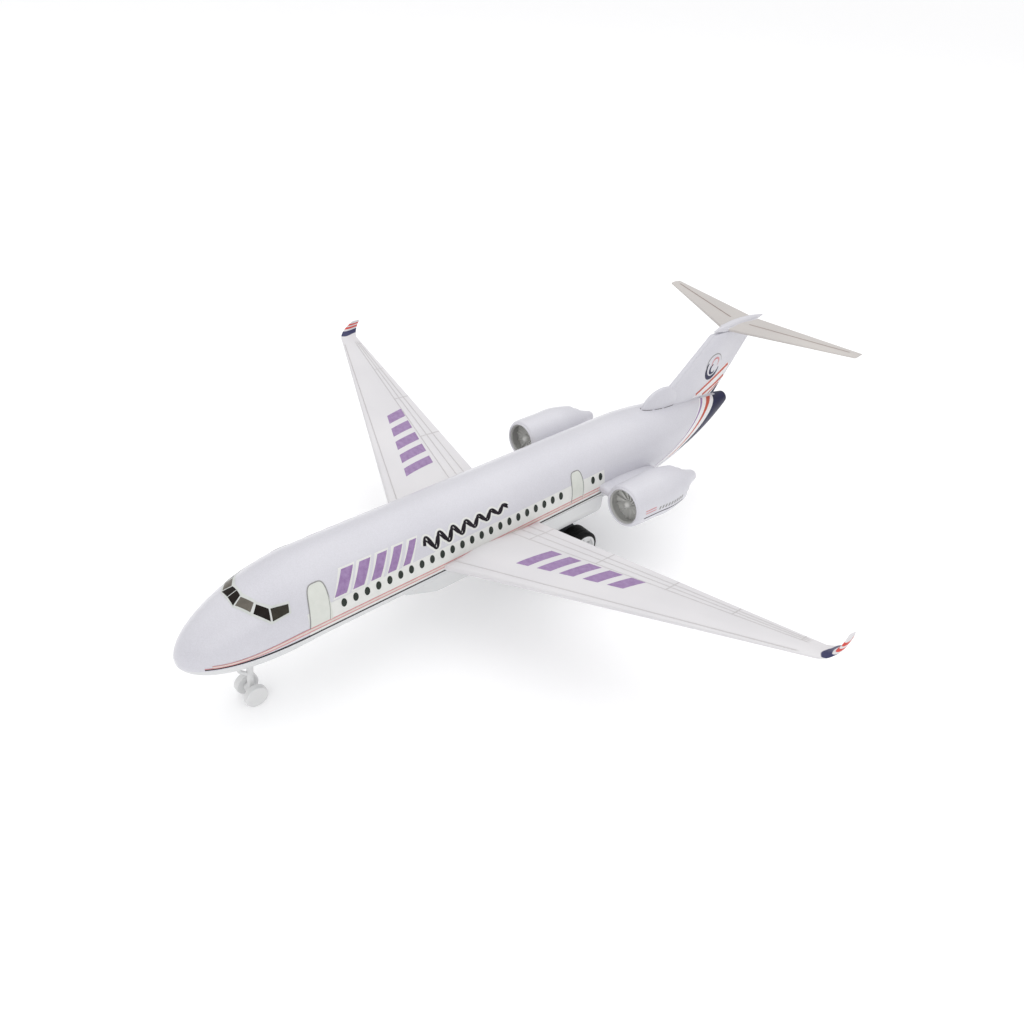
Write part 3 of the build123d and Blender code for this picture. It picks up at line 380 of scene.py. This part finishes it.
groove = tail.math("MULTIPLY", tail.ramp(gap, 0.25, 0.6, 1.0, 0.0), on_hinge)
tail.bump(tail.math("SUBTRACT", 1.0, groove), 1.0, 0.0005)
warm = tail.math("MULTIPLY", tail.ramp(gap, 0.0, 2.4, 0.3, 0.0), on_hinge)
painted = tail.mix(warm, tail.colour, linear(190, 168, 160))
over_fin = tail.ramp(reach, 3.0, 3.6, 1.0, 0.0)
painted = tail.mix(over_fin, painted, linear(*PEARL))
# Painted shade: the groove itself is darkened towards a dark warm brown.
tail.set(Base_Color=tail.mix(tail.math("MULTIPLY", groove, 0.8), painted, linear(120, 98, 90)))

# %% [markdown]
# ## Rubber, steel and the rest
# The tyres are matt black rubber with three fine grooves round the tread. Axles and screws are drawn
# or turned steel: a metal whose scratches all run one way, which a Noise texture stretched along
# that way gives. The fans are grey plastic sprayed silver.

# %% Tyres
rubber = plastic("tyre rubber", (5, 5, 6), (9, 9, 10), gloss=0.6, peel=0.35, grain=2200.0, scuffs=0.1)
tread = rubber.add("ShaderNodeSeparateXYZ", {"Vector": rubber.object}).outputs["X"]
tread = rubber.math("MULTIPLY", rubber.math("ABSOLUTE", tread), 1 / MM)
rubber.set(Specular_IOR_Level=0.2)
rings = 0.0
for across in (18.2, 20.8, 23.4):
    rings = rubber.math("MAXIMUM", rings, rubber.band(tread, across, 0.18, 0.2))
rubber.bump(rubber.math("SUBTRACT", 1.0, rings), 1.0, 0.0004)


# %% Metals
def metal(name, colour, stretch, gloss=0.3):
    """Bare metal: scratches are a Noise texture squeezed along the direction of turning or drawing."""
    recipe = Recipe(name)
    squeezed = recipe.add("ShaderNodeMapping", {"Vector": recipe.object, "Scale": stretch}).outputs["Vector"]
    scratches = recipe.noise(1.0, 6.0, 0.6, squeezed)
    recipe.set(Metallic=1.0, Roughness=recipe.ramp(scratches, 0.3, 0.7, gloss - 0.1, gloss + 0.12))
    recipe.set(Base_Color=recipe.mix(scratches, linear(*colour), linear(*(0.86 * np.array(colour)))))
    recipe.bump(scratches, 0.12, 0.00005)
    return recipe


steel = metal("drawn steel", (196, 197, 200), (3000.0, 300.0, 300.0))
turned = metal("turned steel", (172, 172, 176), (4000.0, 200.0, 200.0), gloss=0.26)
silver = plastic("silver sprayed fan", (196, 196, 193), (208, 208, 205), gloss=0.42, peel=0.3, grain=700.0)
silver.set(Metallic=0.12)

# %% Give every CAD part its finish
FINISHES = {
    "fuselage_upper_shell": pearl, "fuselage_lower_shell": white, "tail_fin": pearl, "tailplane": tail,
    "nose_gear_strut": white, "axle_gear": nylon, "idler_gear": nylon, "flywheel_pinion": nylon,
    "flywheel": turned,
}
PAIRS = {
    "wing": wing, "engine_nacelle": pearl, "exhaust_nozzle": pearl, "engine_fan": silver,
    "nose_wheel": white, "main_hub": white, "main_tyre": rubber, "motor_case": dark_case,
}
for name, recipe in PAIRS.items():
    FINISHES[name + "_port"] = FINISHES[name + "_starboard"] = recipe
for name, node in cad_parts.items():
    node.data.materials.clear()
    node.data.materials.append(FINISHES.get(name, steel).material)
print(len(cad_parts), "CAD parts,", len(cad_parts) - len(FINISHES), "of them in drawn steel")

# %% [markdown]
# ## Vinyl and printing ink
# Labels are printed on cream vinyl. Its colour is a shade yellower than the lacquer around it, which is
# why the label shows as a faint patch. Inks get a slight mottling, and a little less gloss where the
# ink is thick.

# %% Vinyl and inks
def print_ink(name, colour, shade, gloss=0.4, mottle=260.0, shine=0.5):
    """Ink on vinyl: two close colours mottled by a fine Noise texture, on a slightly dimpled film."""
    recipe = Recipe(name)
    recipe.set(Specular_IOR_Level=shine)
    spots = recipe.ramp(recipe.noise(mottle, 5.0, 0.6), 0.35, 0.68, 0.0, 1.0)
    recipe.set(Base_Color=recipe.mix(spots, linear(*colour), linear(*shade)))
    recipe.set(Roughness=recipe.ramp(spots, 0.0, 1.0, gloss - 0.05, gloss + 0.06))
    recipe.bump(recipe.noise(700.0, 3.0), 0.1, 0.0001)
    return recipe.material


vinyl = print_ink("cream vinyl", (222, 222, 219), (216, 217, 214))
red_ink = print_ink("red ink", (206, 138, 140), (190, 122, 128))
orange_ink = print_ink("orange red ink", (196, 78, 50), (178, 66, 46))
tan_ink = print_ink("tan ink", (212, 203, 195), (206, 196, 189))
purple_ink = print_ink("purple ink", (140, 110, 156), (158, 132, 174), mottle=420.0)
black_ink_and_gap_shadow = print_ink("black ink and gap shadow", (26, 22, 28), (38, 32, 40), shine=0.15)
navy_ink = print_ink("navy ink", (27, 28, 60), (34, 36, 72), shine=0.15)
white_ink = print_ink("white ink", (232, 231, 232), (226, 226, 227))
grey_ink = print_ink("grey ink", (150, 150, 148), (132, 132, 132))
glass_ink = print_ink("window ink", (40, 47, 43), (54, 60, 55), gloss=0.24, shine=0.15)

# %% [markdown]
# ## The cabin label
# One long label a side carries the stripes, the doors and the windows. Its lower edge follows
# the joint between the shells. The row of windows climbs slightly towards the tail, as the label
# was drawn that way, and the label's upper edge climbs with it.

# %% Cabin label and its stripes
JOINT = -8.5
CABIN_REAR = 256.0
STRIPES_REAR = 254.5


def angle_at(station, level):
    """Angle whose sine is the level above the section's centre divided by the radius."""
    return np.degrees(np.arcsin(np.clip((level - skin_level(station)) / skin_radius(station), -1, 1)))


def window_angle(station):
    """Straight line from 10 degrees at the first window to 15 at the last of the long row."""
    return 10.0 + 5.0 * (station - 76.0) / 144.0


def skin_band(start, end, low, high, lift, rows=240, columns=10):
    """Band between two edges, each an angle for a station: the angle goes from low to high along a row."""
    station = np.linspace(start, end, rows)[:, None]
    across = np.linspace(0, 1, columns)[None, :]
    bottom, top = low(station), high(station)
    return on_skin(station + 0 * across, bottom + (top - bottom) * across, lift)


def stripe(level, drop, half, start, name, ink, lift=0.12):
    """A stripe that climbs gently past the wing and sinks under the nose by its drop, eased as a cosine."""
    def edge(side):
        def angle(station):
            share = np.clip((60.0 - station) / 46.0, 0, 1)
            eased = (1 - np.cos(np.pi * share)) / 2
            climb = 0.0145 * np.maximum(station - 130.0, 0)
            return angle_at(station, level + climb - drop * eased + side * half * (1 - 0.35 * eased))
        return angle
    both_sides("stripe_" + name, skin_band(start, STRIPES_REAR, edge(-1), edge(1), lift, 300, 4), ink)


def label_foot(station):
    return angle_at(station, JOINT + 0.45)


def label_head(station):
    return window_angle(station) + 7.5


both_sides("cabin_label", skin_band(56.5, CABIN_REAR, label_foot, label_head, 0.06), vinyl)
stripe(-3.2, 4.6, 1.1, 12, "tan", tan_ink, 0.1)
stripe(-2.1, 5.0, 0.34, 12, "red_upper", red_ink)
stripe(-4.3, 4.2, 0.4, 9, "red_lower", red_ink)
stripe(-7.5, 1.7, 0.7, 9, "black", black_ink_and_gap_shadow)

# %% [markdown]
# ## Windows and doors
# Twenty-three oval windows stand in a row, with two more behind the rear door. All are one array:
# the centres are broadcast against one oval, so the mesh is made in a single step. A door
# is only an outline with a round top, drawn as one pen stroke over slightly greener vinyl.

# %% Windows and doors
FIRST_WINDOW, WINDOW_PITCH = 75.6, 6.55
stations = np.concatenate([FIRST_WINDOW + WINDOW_PITCH * np.arange(23), [246.0, 252.4]])
centres = np.stack([stations, arc(window_angle(stations))], axis=-1)
both_sides("windows", wrap(oval(centres, 1.5, 2.35, 9), 0.12), glass_ink)
DOOR_SILL = -4.5
DOORS = {"front_door": (56.6, 67.4, 47.0, 2.6), "rear_door": (228.2, 237.6, 39.5, 1.0)}


def door_outline(front, rear, top, power, lean, count=60):
    """Upper half of a superellipse, walked by its polar angle: radius (|cos|^p + |sin|^p)^(-1/p)."""
    turn = np.linspace(np.pi, 0, count)
    middle, half = (front + rear) / 2, (rear - front) / 2
    radius = (np.abs(np.cos(turn)) ** power + np.abs(np.sin(turn)) ** power) ** (-1 / power)
    rise = radius * np.sin(turn)
    height = arc(DOOR_SILL) + (arc(top) - arc(DOOR_SILL)) * rise
    return np.stack([middle + half * radius * np.cos(turn) + lean * rise, height], axis=-1)


door_green = print_ink("door vinyl", (214, 216, 210), (208, 211, 204))
for name, (front, rear, top, lean) in DOORS.items():
    outline = door_outline(front, rear, top, 4.2, lean)
    floor_line = np.stack([outline[:, 0], np.full(len(outline), arc(DOOR_SILL))], axis=-1)
    across = np.linspace(0, 1, 20)[None, :, None]
    filling = floor_line[:, None, :] * (1 - across) + outline[:, None, :] * across
    both_sides(name + "_panel", wrap(filling, 0.085), door_green)
    both_sides(name + "_outline", wrap(stroke(outline, 0.6), 0.13), grey_ink)

# %% [markdown]
# ## Graphics over the windows
# A toy like this carries bold lettering over its windows. This one gets plain slanted bars in the
# same purple instead, and behind them a black pennant of waves in place of handwriting, so it has the
# same weight of colour without a name. The bars are patches. The waves are pen strokes whose width
# swells and thins with the slope, as a broad nib does.

# %% Bars and waves
def slanted_bars(starts, widths, low, high, lean):
    """Parallelograms side by side, each from its start on the lower edge to start + lean on the upper."""
    bars = []
    for near, width in zip(starts, widths):
        far, top_near, top_far = near + width, near + lean, near + width + lean
        corners = [(near, low(near)), (far, low(far)), (top_far, high(top_far)), (top_near, high(top_near))]
        bars.append(patch(corners, 14, 30))
    return np.stack(bars)


def bar_foot(station):
    return arc(20.8 - (station - 72.5) * 0.02)


def bar_head(station):
    return arc(48.0 - (station - 83.0) * 0.06)


LEAN, MARGIN = 8.0, 1.1
starts, widths = np.array([71.5, 81.6, 91.8, 101.4, 110.6]), np.array([6.6, 6.2, 5.6, 5.0, 4.2])
halo = slanted_bars(starts - MARGIN, widths + 2 * MARGIN,
                    lambda s: bar_foot(s) - 1.0, lambda s: bar_head(s) + 1.0, LEAN)
both_sides("bars_backing", wrap(halo, 0.05), vinyl)
both_sides("bars", wrap(slanted_bars(starts, widths, bar_foot, bar_head, LEAN), 0.12), purple_ink)
WAVES, WAVES_START, WAVES_LENGTH = 6.5, 125.5, 56.0
along = np.linspace(0, 1, 420)
for number, (swell, phase, thick) in enumerate(((1.0, 0.0, 1.6), (0.62, 0.9, 0.95))):
    beat = 2 * np.pi * WAVES * along + phase
    size = swell * (4.2 - 2.6 * along)
    height = arc(32.0) + 1.2 * along + size * np.sin(beat)
    path = np.stack([WAVES_START + WAVES_LENGTH * along, height], axis=-1)
    width = thick * (0.55 + 0.6 * np.abs(np.cos(beat)))
    both_sides(f"wave_backing_{number}", wrap(stroke(path, 2.2 + width), 0.045 + 0.008 * number), vinyl)
    both_sides(f"wave_{number}", wrap(stroke(path, width), 0.12 + 0.02 * number), black_ink_and_gap_shadow)

# %% [markdown]
# ## Cockpit glazing
# The windscreen wraps round the nose: four panes a side, dark and grey by turns, in a pale frame.
# Each pane is a patch whose corners are a station and an angle on the skin, so it
# bends with the nose in both directions.

# %% Cockpit
def nose_patch(corners, lift):
    """A bilinear patch of (station, angle) corners, carried to the skin."""
    grid = patch(corners, 16, 16)
    return on_skin(grid[..., 0], grid[..., 1], lift)


smoke = print_ink("smoked pane", (108, 103, 95), (90, 86, 79), gloss=0.25, mottle=300.0, shine=0.15)
rear_pane = print_ink("rear pane", (58, 56, 48), (46, 44, 38), gloss=0.25, mottle=300.0, shine=0.15)
dark_pane = print_ink("dark pane", (18, 13, 9), (28, 22, 16), gloss=0.2, mottle=300.0, shine=0.15)
frame_ink = print_ink("pale frame", (204, 206, 204), (194, 198, 194))
PANES = {
    "centre": ([(29.1, 73.0), (29.3, 89.4), (34.1, 89.4), (33.9, 79.6)], dark_pane),
    "quarter": ([(33.9, 52.9), (29.8, 71.6), (33.7, 77.2), (37.0, 60.9)], smoke),
    "side": ([(40.2, 30.9), (34.7, 49.2), (37.5, 57.7), (41.4, 45.6)], dark_pane),
    "rear": ([(49.0, 30.2), (41.0, 29.8), (42.1, 44.6), (50.0, 39.4)], rear_pane),
}
for name, (corners, ink) in PANES.items():
    both_sides("pane_" + name, nose_patch(corners, 0.13)[::-1], ink)
frame_low = np.array([(49.9, 28.3), (40.1, 27.0), (33.6, 48.2), (28.6, 72.0), (28.4, 90.0)])
frame_high = np.array([(50.8, 42.0), (43.1, 46.8), (38.6, 58.8), (35.2, 80.0), (35.2, 90.0)])
knots = np.arange(5.0)
fine = np.linspace(0, 4, 81)
low_edge, high_edge = (np.stack([np.interp(fine, knots, edge[:, axis]) for axis in (0, 1)], axis=-1)
                       for edge in (frame_low, frame_high))
across = np.linspace(0, 1, 12)[None, :, None]
surround = low_edge[:, None, :] * (1 - across) + high_edge[:, None, :] * across
both_sides("windscreen_frame", on_skin(surround[..., 0], surround[..., 1], 0.08)[:, ::-1], frame_ink)

# %% [markdown]
# ## Sweeping stripes on the tail
# From low behind the engines the stripes sweep up and aft round the tail cone: a purple line, an
# orange band that widens, and a navy end. Each edge is a station for every angle, a curve
# that starts fast and flattens, which a falling exponential describes with two numbers.

# %% Tail stripes
BEHIND_FIN = 389.0
FOOT, SPREAD = -18.0, 103.0


def sweep(start, rise, fall=45.0):
    """Station = start + rise (1 - e^(-(angle - foot) / fall)) / (1 - e^(-spread / fall))."""
    return lambda angle: start + rise * (1 - np.exp(-(angle - FOOT) / fall)) / (1 - np.exp(-SPREAD / fall))


def tail_band(front, rear, low, high, lift, rows=20, columns=110):
    """Band between two edges, each a station for an angle, that stops at the end of the tail cone."""
    angle = np.linspace(low, high, columns)[None, :]
    across = np.linspace(0, 1, rows)[:, None]
    station = front(angle) + (rear(angle) - front(angle)) * across
    return on_skin(np.minimum(station, LENGTH - 0.2), angle + 0 * across, lift)


LOW, HIGH = -17.5, 77.0
line, orange, navy = sweep(302.0, 69.5), sweep(318.0, 60.5), sweep(329.5, 56.0, 30.0)
widen = sweep(2.0, 3.0, 25.0)
both_sides("tail_label", tail_band(lambda a: line(a) - 1.5, navy, LOW, HIGH, 0.05, 30), white_ink)
for name, front, share, ink in (("line", line, 0.5, purple_ink), ("orange", orange, 1.0, orange_ink)):
    band = tail_band(front, lambda a: front(a) + share * widen(a), LOW + 0.5, HIGH, 0.1, 6)
    both_sides("tail_" + name, band, ink)
both_sides("tail_navy", tail_band(navy, lambda a: 0 * a + LENGTH, LOW, HIGH, 0.1, 60), navy_ink)
crown = tail_band(lambda a: 0 * a + BEHIND_FIN, lambda a: 0 * a + LENGTH, HIGH, 90, 0.1, 12, 12)
both_sides("tail_navy_top", crown, navy_ink)

# %% [markdown]
# ## Marks on the fin and the wings
# The fin and the wings have no such short formula. Their labels are laid on
# instead: a flat sheet starts clear of the part and a Shrinkwrap modifier projects it along one axis
# until it meets the CAD surface, then lifts it by the thickness of a label. The badge is a ring of plain
# arcs. Along the fin's foot the shade in the gap to the tail cone is painted as dark dashes of black
# ink, which hug the wider of the fin and its fillet.

# %% Fin stripes and badge
def on_paper_fin(paper):
    """Paper (station, level) on a plane to port of the fin."""
    return place(14.0, paper[..., 0], paper[..., 1])


def ring(centre, radius, start, end, width, count=70):
    """An arc of a circle as a pen stroke, tapering to both ends as a sine."""
    turn = np.radians(np.linspace(start, end, count))
    path = np.asarray(centre) + radius * np.stack([np.cos(turn), np.sin(turn)], axis=-1)
    return stroke(path, width * (0.25 + 0.75 * np.sin(np.linspace(0, np.pi, count))))


def lay_sideways(name, grid, material, targets, lift=0.07):
    """A grid to port and its mirror image, each projected inwards on its own node."""
    sheet(name + "_port", grid, material, target=targets[0], axis="X", lift=lift, towards=-1)
    sheet(name + "_starboard", mirrored(grid), material, target=targets[1], axis="X", lift=lift, towards=1)


def fin_marks(name, paper, material, lift=0.07):
    lay_sideways(name, on_paper_fin(paper), material, ("tail_fin", "tail_fin"), lift)


FIN_FRONT, FIN_CHORD, FIN_HALF = 313.3, 74.2, 3.5
FILLET_MIDDLE, FILLET_HALF_LENGTH, FILLET_HALF_WIDTH = 329.0, 18.5, 4.0
# Painted shadow: dark dashes of black ink along the fin's foot, where the gap lies in shade.
dashes = []
for start, end in ((311.0, 318.0), (320.0, 327.0), (329.0, 339.0), (341.5, 347.0), (349.0, 372.0)):
    station = np.linspace(start, end, 24)[:, None]
    share = np.clip((station - FIN_FRONT) / FIN_CHORD, 0.001, 1)
    blade = FIN_HALF * np.clip(2.2 * np.sqrt(share) - 1.7 * share - 0.35 * share**2, 0, 1)
    oval_share = (station - FILLET_MIDDLE) / FILLET_HALF_LENGTH
    fillet = FILLET_HALF_WIDTH * np.sqrt(np.clip(0.98 - oval_share**2, 0, 1))
    half = np.maximum(blade, fillet) + np.linspace(-0.6, 0.35, 4)[None, :]
    radius = skin_radius(station) + 0.05
    dashes.append(place(half, station + 0 * half, skin_level(station) + np.sqrt(radius**2 - half**2)))
both_sides("fin_gap_shadow", np.stack(dashes)[:, :, ::-1], black_ink_and_gap_shadow)
backing = patch([(360.0, 17.0), (384.8, 13.0), (399.8, 30.5), (396.8, 33.6)], 30, 30)
fin_marks("fin_label", backing, white_ink, 0.04)
rise = np.linspace(0, 1, 60)
upper = np.stack([364.0 + 33.5 * rise, 18.4 + 10.5 * rise + 3.0 * rise**2], axis=-1)
lower = np.stack([373.2 + 21.9 * rise, 15.5 + 5.6 * rise + 2.7 * rise**2], axis=-1)
third = np.stack([380.4 + 10.4 * rise, 13.7 + 5.7 * rise], axis=-1)
fin_marks("fin_stripe_upper", stroke(upper, 1.9 + 0.5 * rise), orange_ink)
fin_marks("fin_stripe_lower", stroke(lower, 1.7 + 0.4 * rise), orange_ink)
fin_marks("fin_stripe_third", stroke(third, 0.9 + 0.3 * rise), orange_ink)
fin_marks("fin_navy", patch([(383.4, 12.9), (386.8, 12.2), (391.0, 17.8), (388.0, 16.4)], 16, 16), navy_ink)
badge = (378.0, 36.5)
fin_marks("badge_ring", ring(badge, 8.4, 10, 215, 0.9), grey_ink)
fin_marks("badge_arc", ring((377.6, 34.8), 7.4, 140, 350, 2.9), navy_ink)
fin_marks("badge_core", ring((379.4, 37.8), 3.8, -40, 200, 1.5), red_ink)
fin_marks("badge_inner", ring((378.0, 34.0), 3.4, 100, 320, 2.2), navy_ink)


# %% Purple bars on the wings
def wing_paper(x, share):
    """From a front edge 15.8 mm behind the leading edge to a rear edge that closes in on it outwards."""
    lead = WING_FRONT + WING_SWEEP * (x - BARREL)
    return lead + 15.8 + share * (21.6 - 0.17 * (x - 48.0))


blocks = []
for start, width in ((50.0, 6.4), (61.0, 7.0), (72.4, 7.2), (84.2, 7.4), (96.2, 7.6)):
    grid = patch([(start, 0), (start + width, 0), (start + width + 3.5, 1), (start + 3.5, 1)], 16, 30)
    blocks.append(place(grid[..., 0], wing_paper(grid[..., 0], grid[..., 1]), 60.0))
blocks = np.stack(blocks)
sheet("wing_bars_port", blocks, purple_ink, target="wing_port", lift=0.07)
sheet("wing_bars_starboard", mirrored(blocks), purple_ink, target="wing_starboard", lift=0.07)

# %% [markdown]
# ## Engine trim
# Inside each intake a grey ring runs from the lip back to the fan. It is a surface of revolution: a
# profile turned about the engine's axis, which is tilted by a couple of degrees. Outside, the cowl has
# three thin lines and a row of plain grey ticks, laid on sideways like the marks on the fin.

# %% Engine trim
fan_low, fan_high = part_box("engine_fan_port")
TILT = np.radians(2.3)
INTAKE, ENGINE_LEVEL = 249.5, -1.2
THROAT = 10.34
ENGINE_X = (fan_low.x + fan_high.x) / 2 / MM


def round_engine(along, radius, angle):
    """About the engine's tilted axis: out r cos(angle), up r sin(angle), back along the axis."""
    turn = np.radians(angle)
    up = radius * np.sin(turn)
    station = INTAKE + along * np.cos(TILT) + up * np.sin(TILT)
    level = ENGINE_LEVEL - along * np.sin(TILT) + up * np.cos(TILT)
    return place(ENGINE_X + radius * np.cos(turn), station, level)


liner = plastic("intake liner", (158, 158, 156), (172, 172, 169), gloss=0.45, peel=0.3)
turns = np.linspace(0, 360, 97)[None, :]
profile = np.linspace(0, 1, 14)[:, None]
depth = 0.15 + 6.6 * profile**1.5
neck = 0.7 * np.sin(np.pi * np.clip(profile * 1.6, 0, 1))
flare = 1.3 * np.clip(1 - profile * 4, 0, 1) ** 2
throat = THROAT - neck + flare
ring_grid = round_engine(depth, throat, turns)
for side, points in (("port", ring_grid[::-1]), ("starboard", mirrored(ring_grid[::-1]))):
    sheet("intake_liner_" + side, points, liner.material, thickness=0.0)


def cowl_marks(name, paper, material):
    """Paper (distance along the engine, height over its axis) beside a cowl, then laid on its round side."""
    along, up = paper[..., 0], paper[..., 1]
    grid = place(ENGINE_X + 18.0, INTAKE + along, ENGINE_LEVEL - along * np.sin(TILT) + up)
    lay_sideways(name, grid, material, ("engine_nacelle_port", "engine_nacelle_starboard"))


def cowl_line(start, end, height, half):
    low, high = height - half, height + half
    return patch([(start, low), (end, low), (end, high), (start, high)], 40, 4)


cowl_marks("cowl_line_upper", cowl_line(5.5, 14.5, 1.9, 0.3), red_ink)
cowl_marks("cowl_line_middle", cowl_line(5.5, 14.5, 0.3, 0.3), red_ink)
cowl_marks("cowl_line_lower", cowl_line(5.0, 41.0, -3.0, 0.35), black_ink_and_gap_shadow)
ticks = np.stack([patch([(s, -0.8), (s + 1.3, -0.8), (s + 2.0, 1.2), (s + 0.7, 1.2)], 5, 8)
                  for s in np.arange(17.0, 38.0, 2.6)])
cowl_marks("cowl_ticks", ticks, grey_ink)

# %% [markdown]
# ## Floor, light and camera
# A pale floor under large soft lamps is a product photographer's tent: the lamps are so big that
# shadows have no edge. The floor glows a little, painted light that lifts its shadows and lights the
# belly from below. A light grey world fills in the rest. The camera looks down on the port bow.

# %% Floor
floor = plastic("pale floor", (246, 246, 247), (244, 244, 245), gloss=0.6, peel=0.02)
# Painted light: the floor glows faintly, lifting its own shadows and lighting the belly from below.
floor.set(Emission_Color=(1.0, 1.0, 1.0, 1.0), Emission_Strength=0.14)
floor_mesh = bpy.data.meshes.new("floor")
FLOOR = 30
floor_mesh.from_pydata([(-FLOOR, -FLOOR, 0), (FLOOR, -FLOOR, 0), (FLOOR, FLOOR, 0), (-FLOOR, FLOOR, 0)],
                       [], [(0, 1, 2, 3)])
floor_mesh.materials.append(floor.material)
floor_object = bpy.data.objects.new("floor", floor_mesh)
bpy.context.scene.collection.objects.link(floor_object)


# %% Lights
def softbox(name, location, size, power, target=(0, 0, 0.05)):
    """A square area lamp that looks at a target."""
    lamp = bpy.data.lights.new(name, "AREA")
    lamp.size = size
    lamp.energy = power
    holder = bpy.data.objects.new(name, lamp)
    holder.location = location
    holder.rotation_euler = (Vector(target) - Vector(location)).to_track_quat("-Z", "Y").to_euler()
    bpy.context.scene.collection.objects.link(holder)


softbox("overhead softbox", (-0.3, 0.5, 2.0), 2.4, 9.5)
softbox("bow softbox", (1.5, -1.5, 1.0), 1.6, 7.0)
world = bpy.data.worlds.new("studio")
world.use_nodes = True
sky = world.node_tree
direction = sky.nodes.new("ShaderNodeTexCoord").outputs["Generated"]
split = sky.nodes.new("ShaderNodeSeparateXYZ")
fade = sky.nodes.new("ShaderNodeMapRange")
fade.inputs["To Min"].default_value = 0.5
fade.inputs["To Max"].default_value = 1.15
sky.links.new(direction, split.inputs[0])
sky.links.new(split.outputs["Z"], fade.inputs["Value"])
sky.links.new(fade.outputs["Result"], sky.nodes["Background"].inputs["Strength"])
sky.nodes["Background"].inputs["Color"].default_value = (1.0, 1.0, 1.0, 1.0)
bpy.context.scene.world = world
bpy.context.scene.view_settings.view_transform = "Standard"

# %% Camera
azimuth, elevation, roll = np.radians([47.164, 36.345, 3.813])
back = np.array([np.sin(azimuth), -np.cos(azimuth), 0.0]) * np.cos(elevation)
back[2] = np.sin(elevation)
level_right = np.array([np.cos(azimuth), np.sin(azimuth), 0.0])
level_up = np.cross(back, level_right)
right = np.cos(roll) * level_right + np.sin(roll) * level_up
upright = -np.sin(roll) * level_right + np.cos(roll) * level_up
lens = bpy.data.cameras.new("camera")
lens.lens = 28.56
lens.sensor_width = 36.0
lens.clip_start = 0.01
camera = bpy.data.objects.new("camera", lens)
pose = np.eye(4)
pose[:3] = np.column_stack([right, upright, back, [0.2864, -0.2770, 0.3294]])
camera.matrix_world = Matrix(pose.tolist())
bpy.context.scene.collection.objects.link(camera)
bpy.context.scene.camera = camera
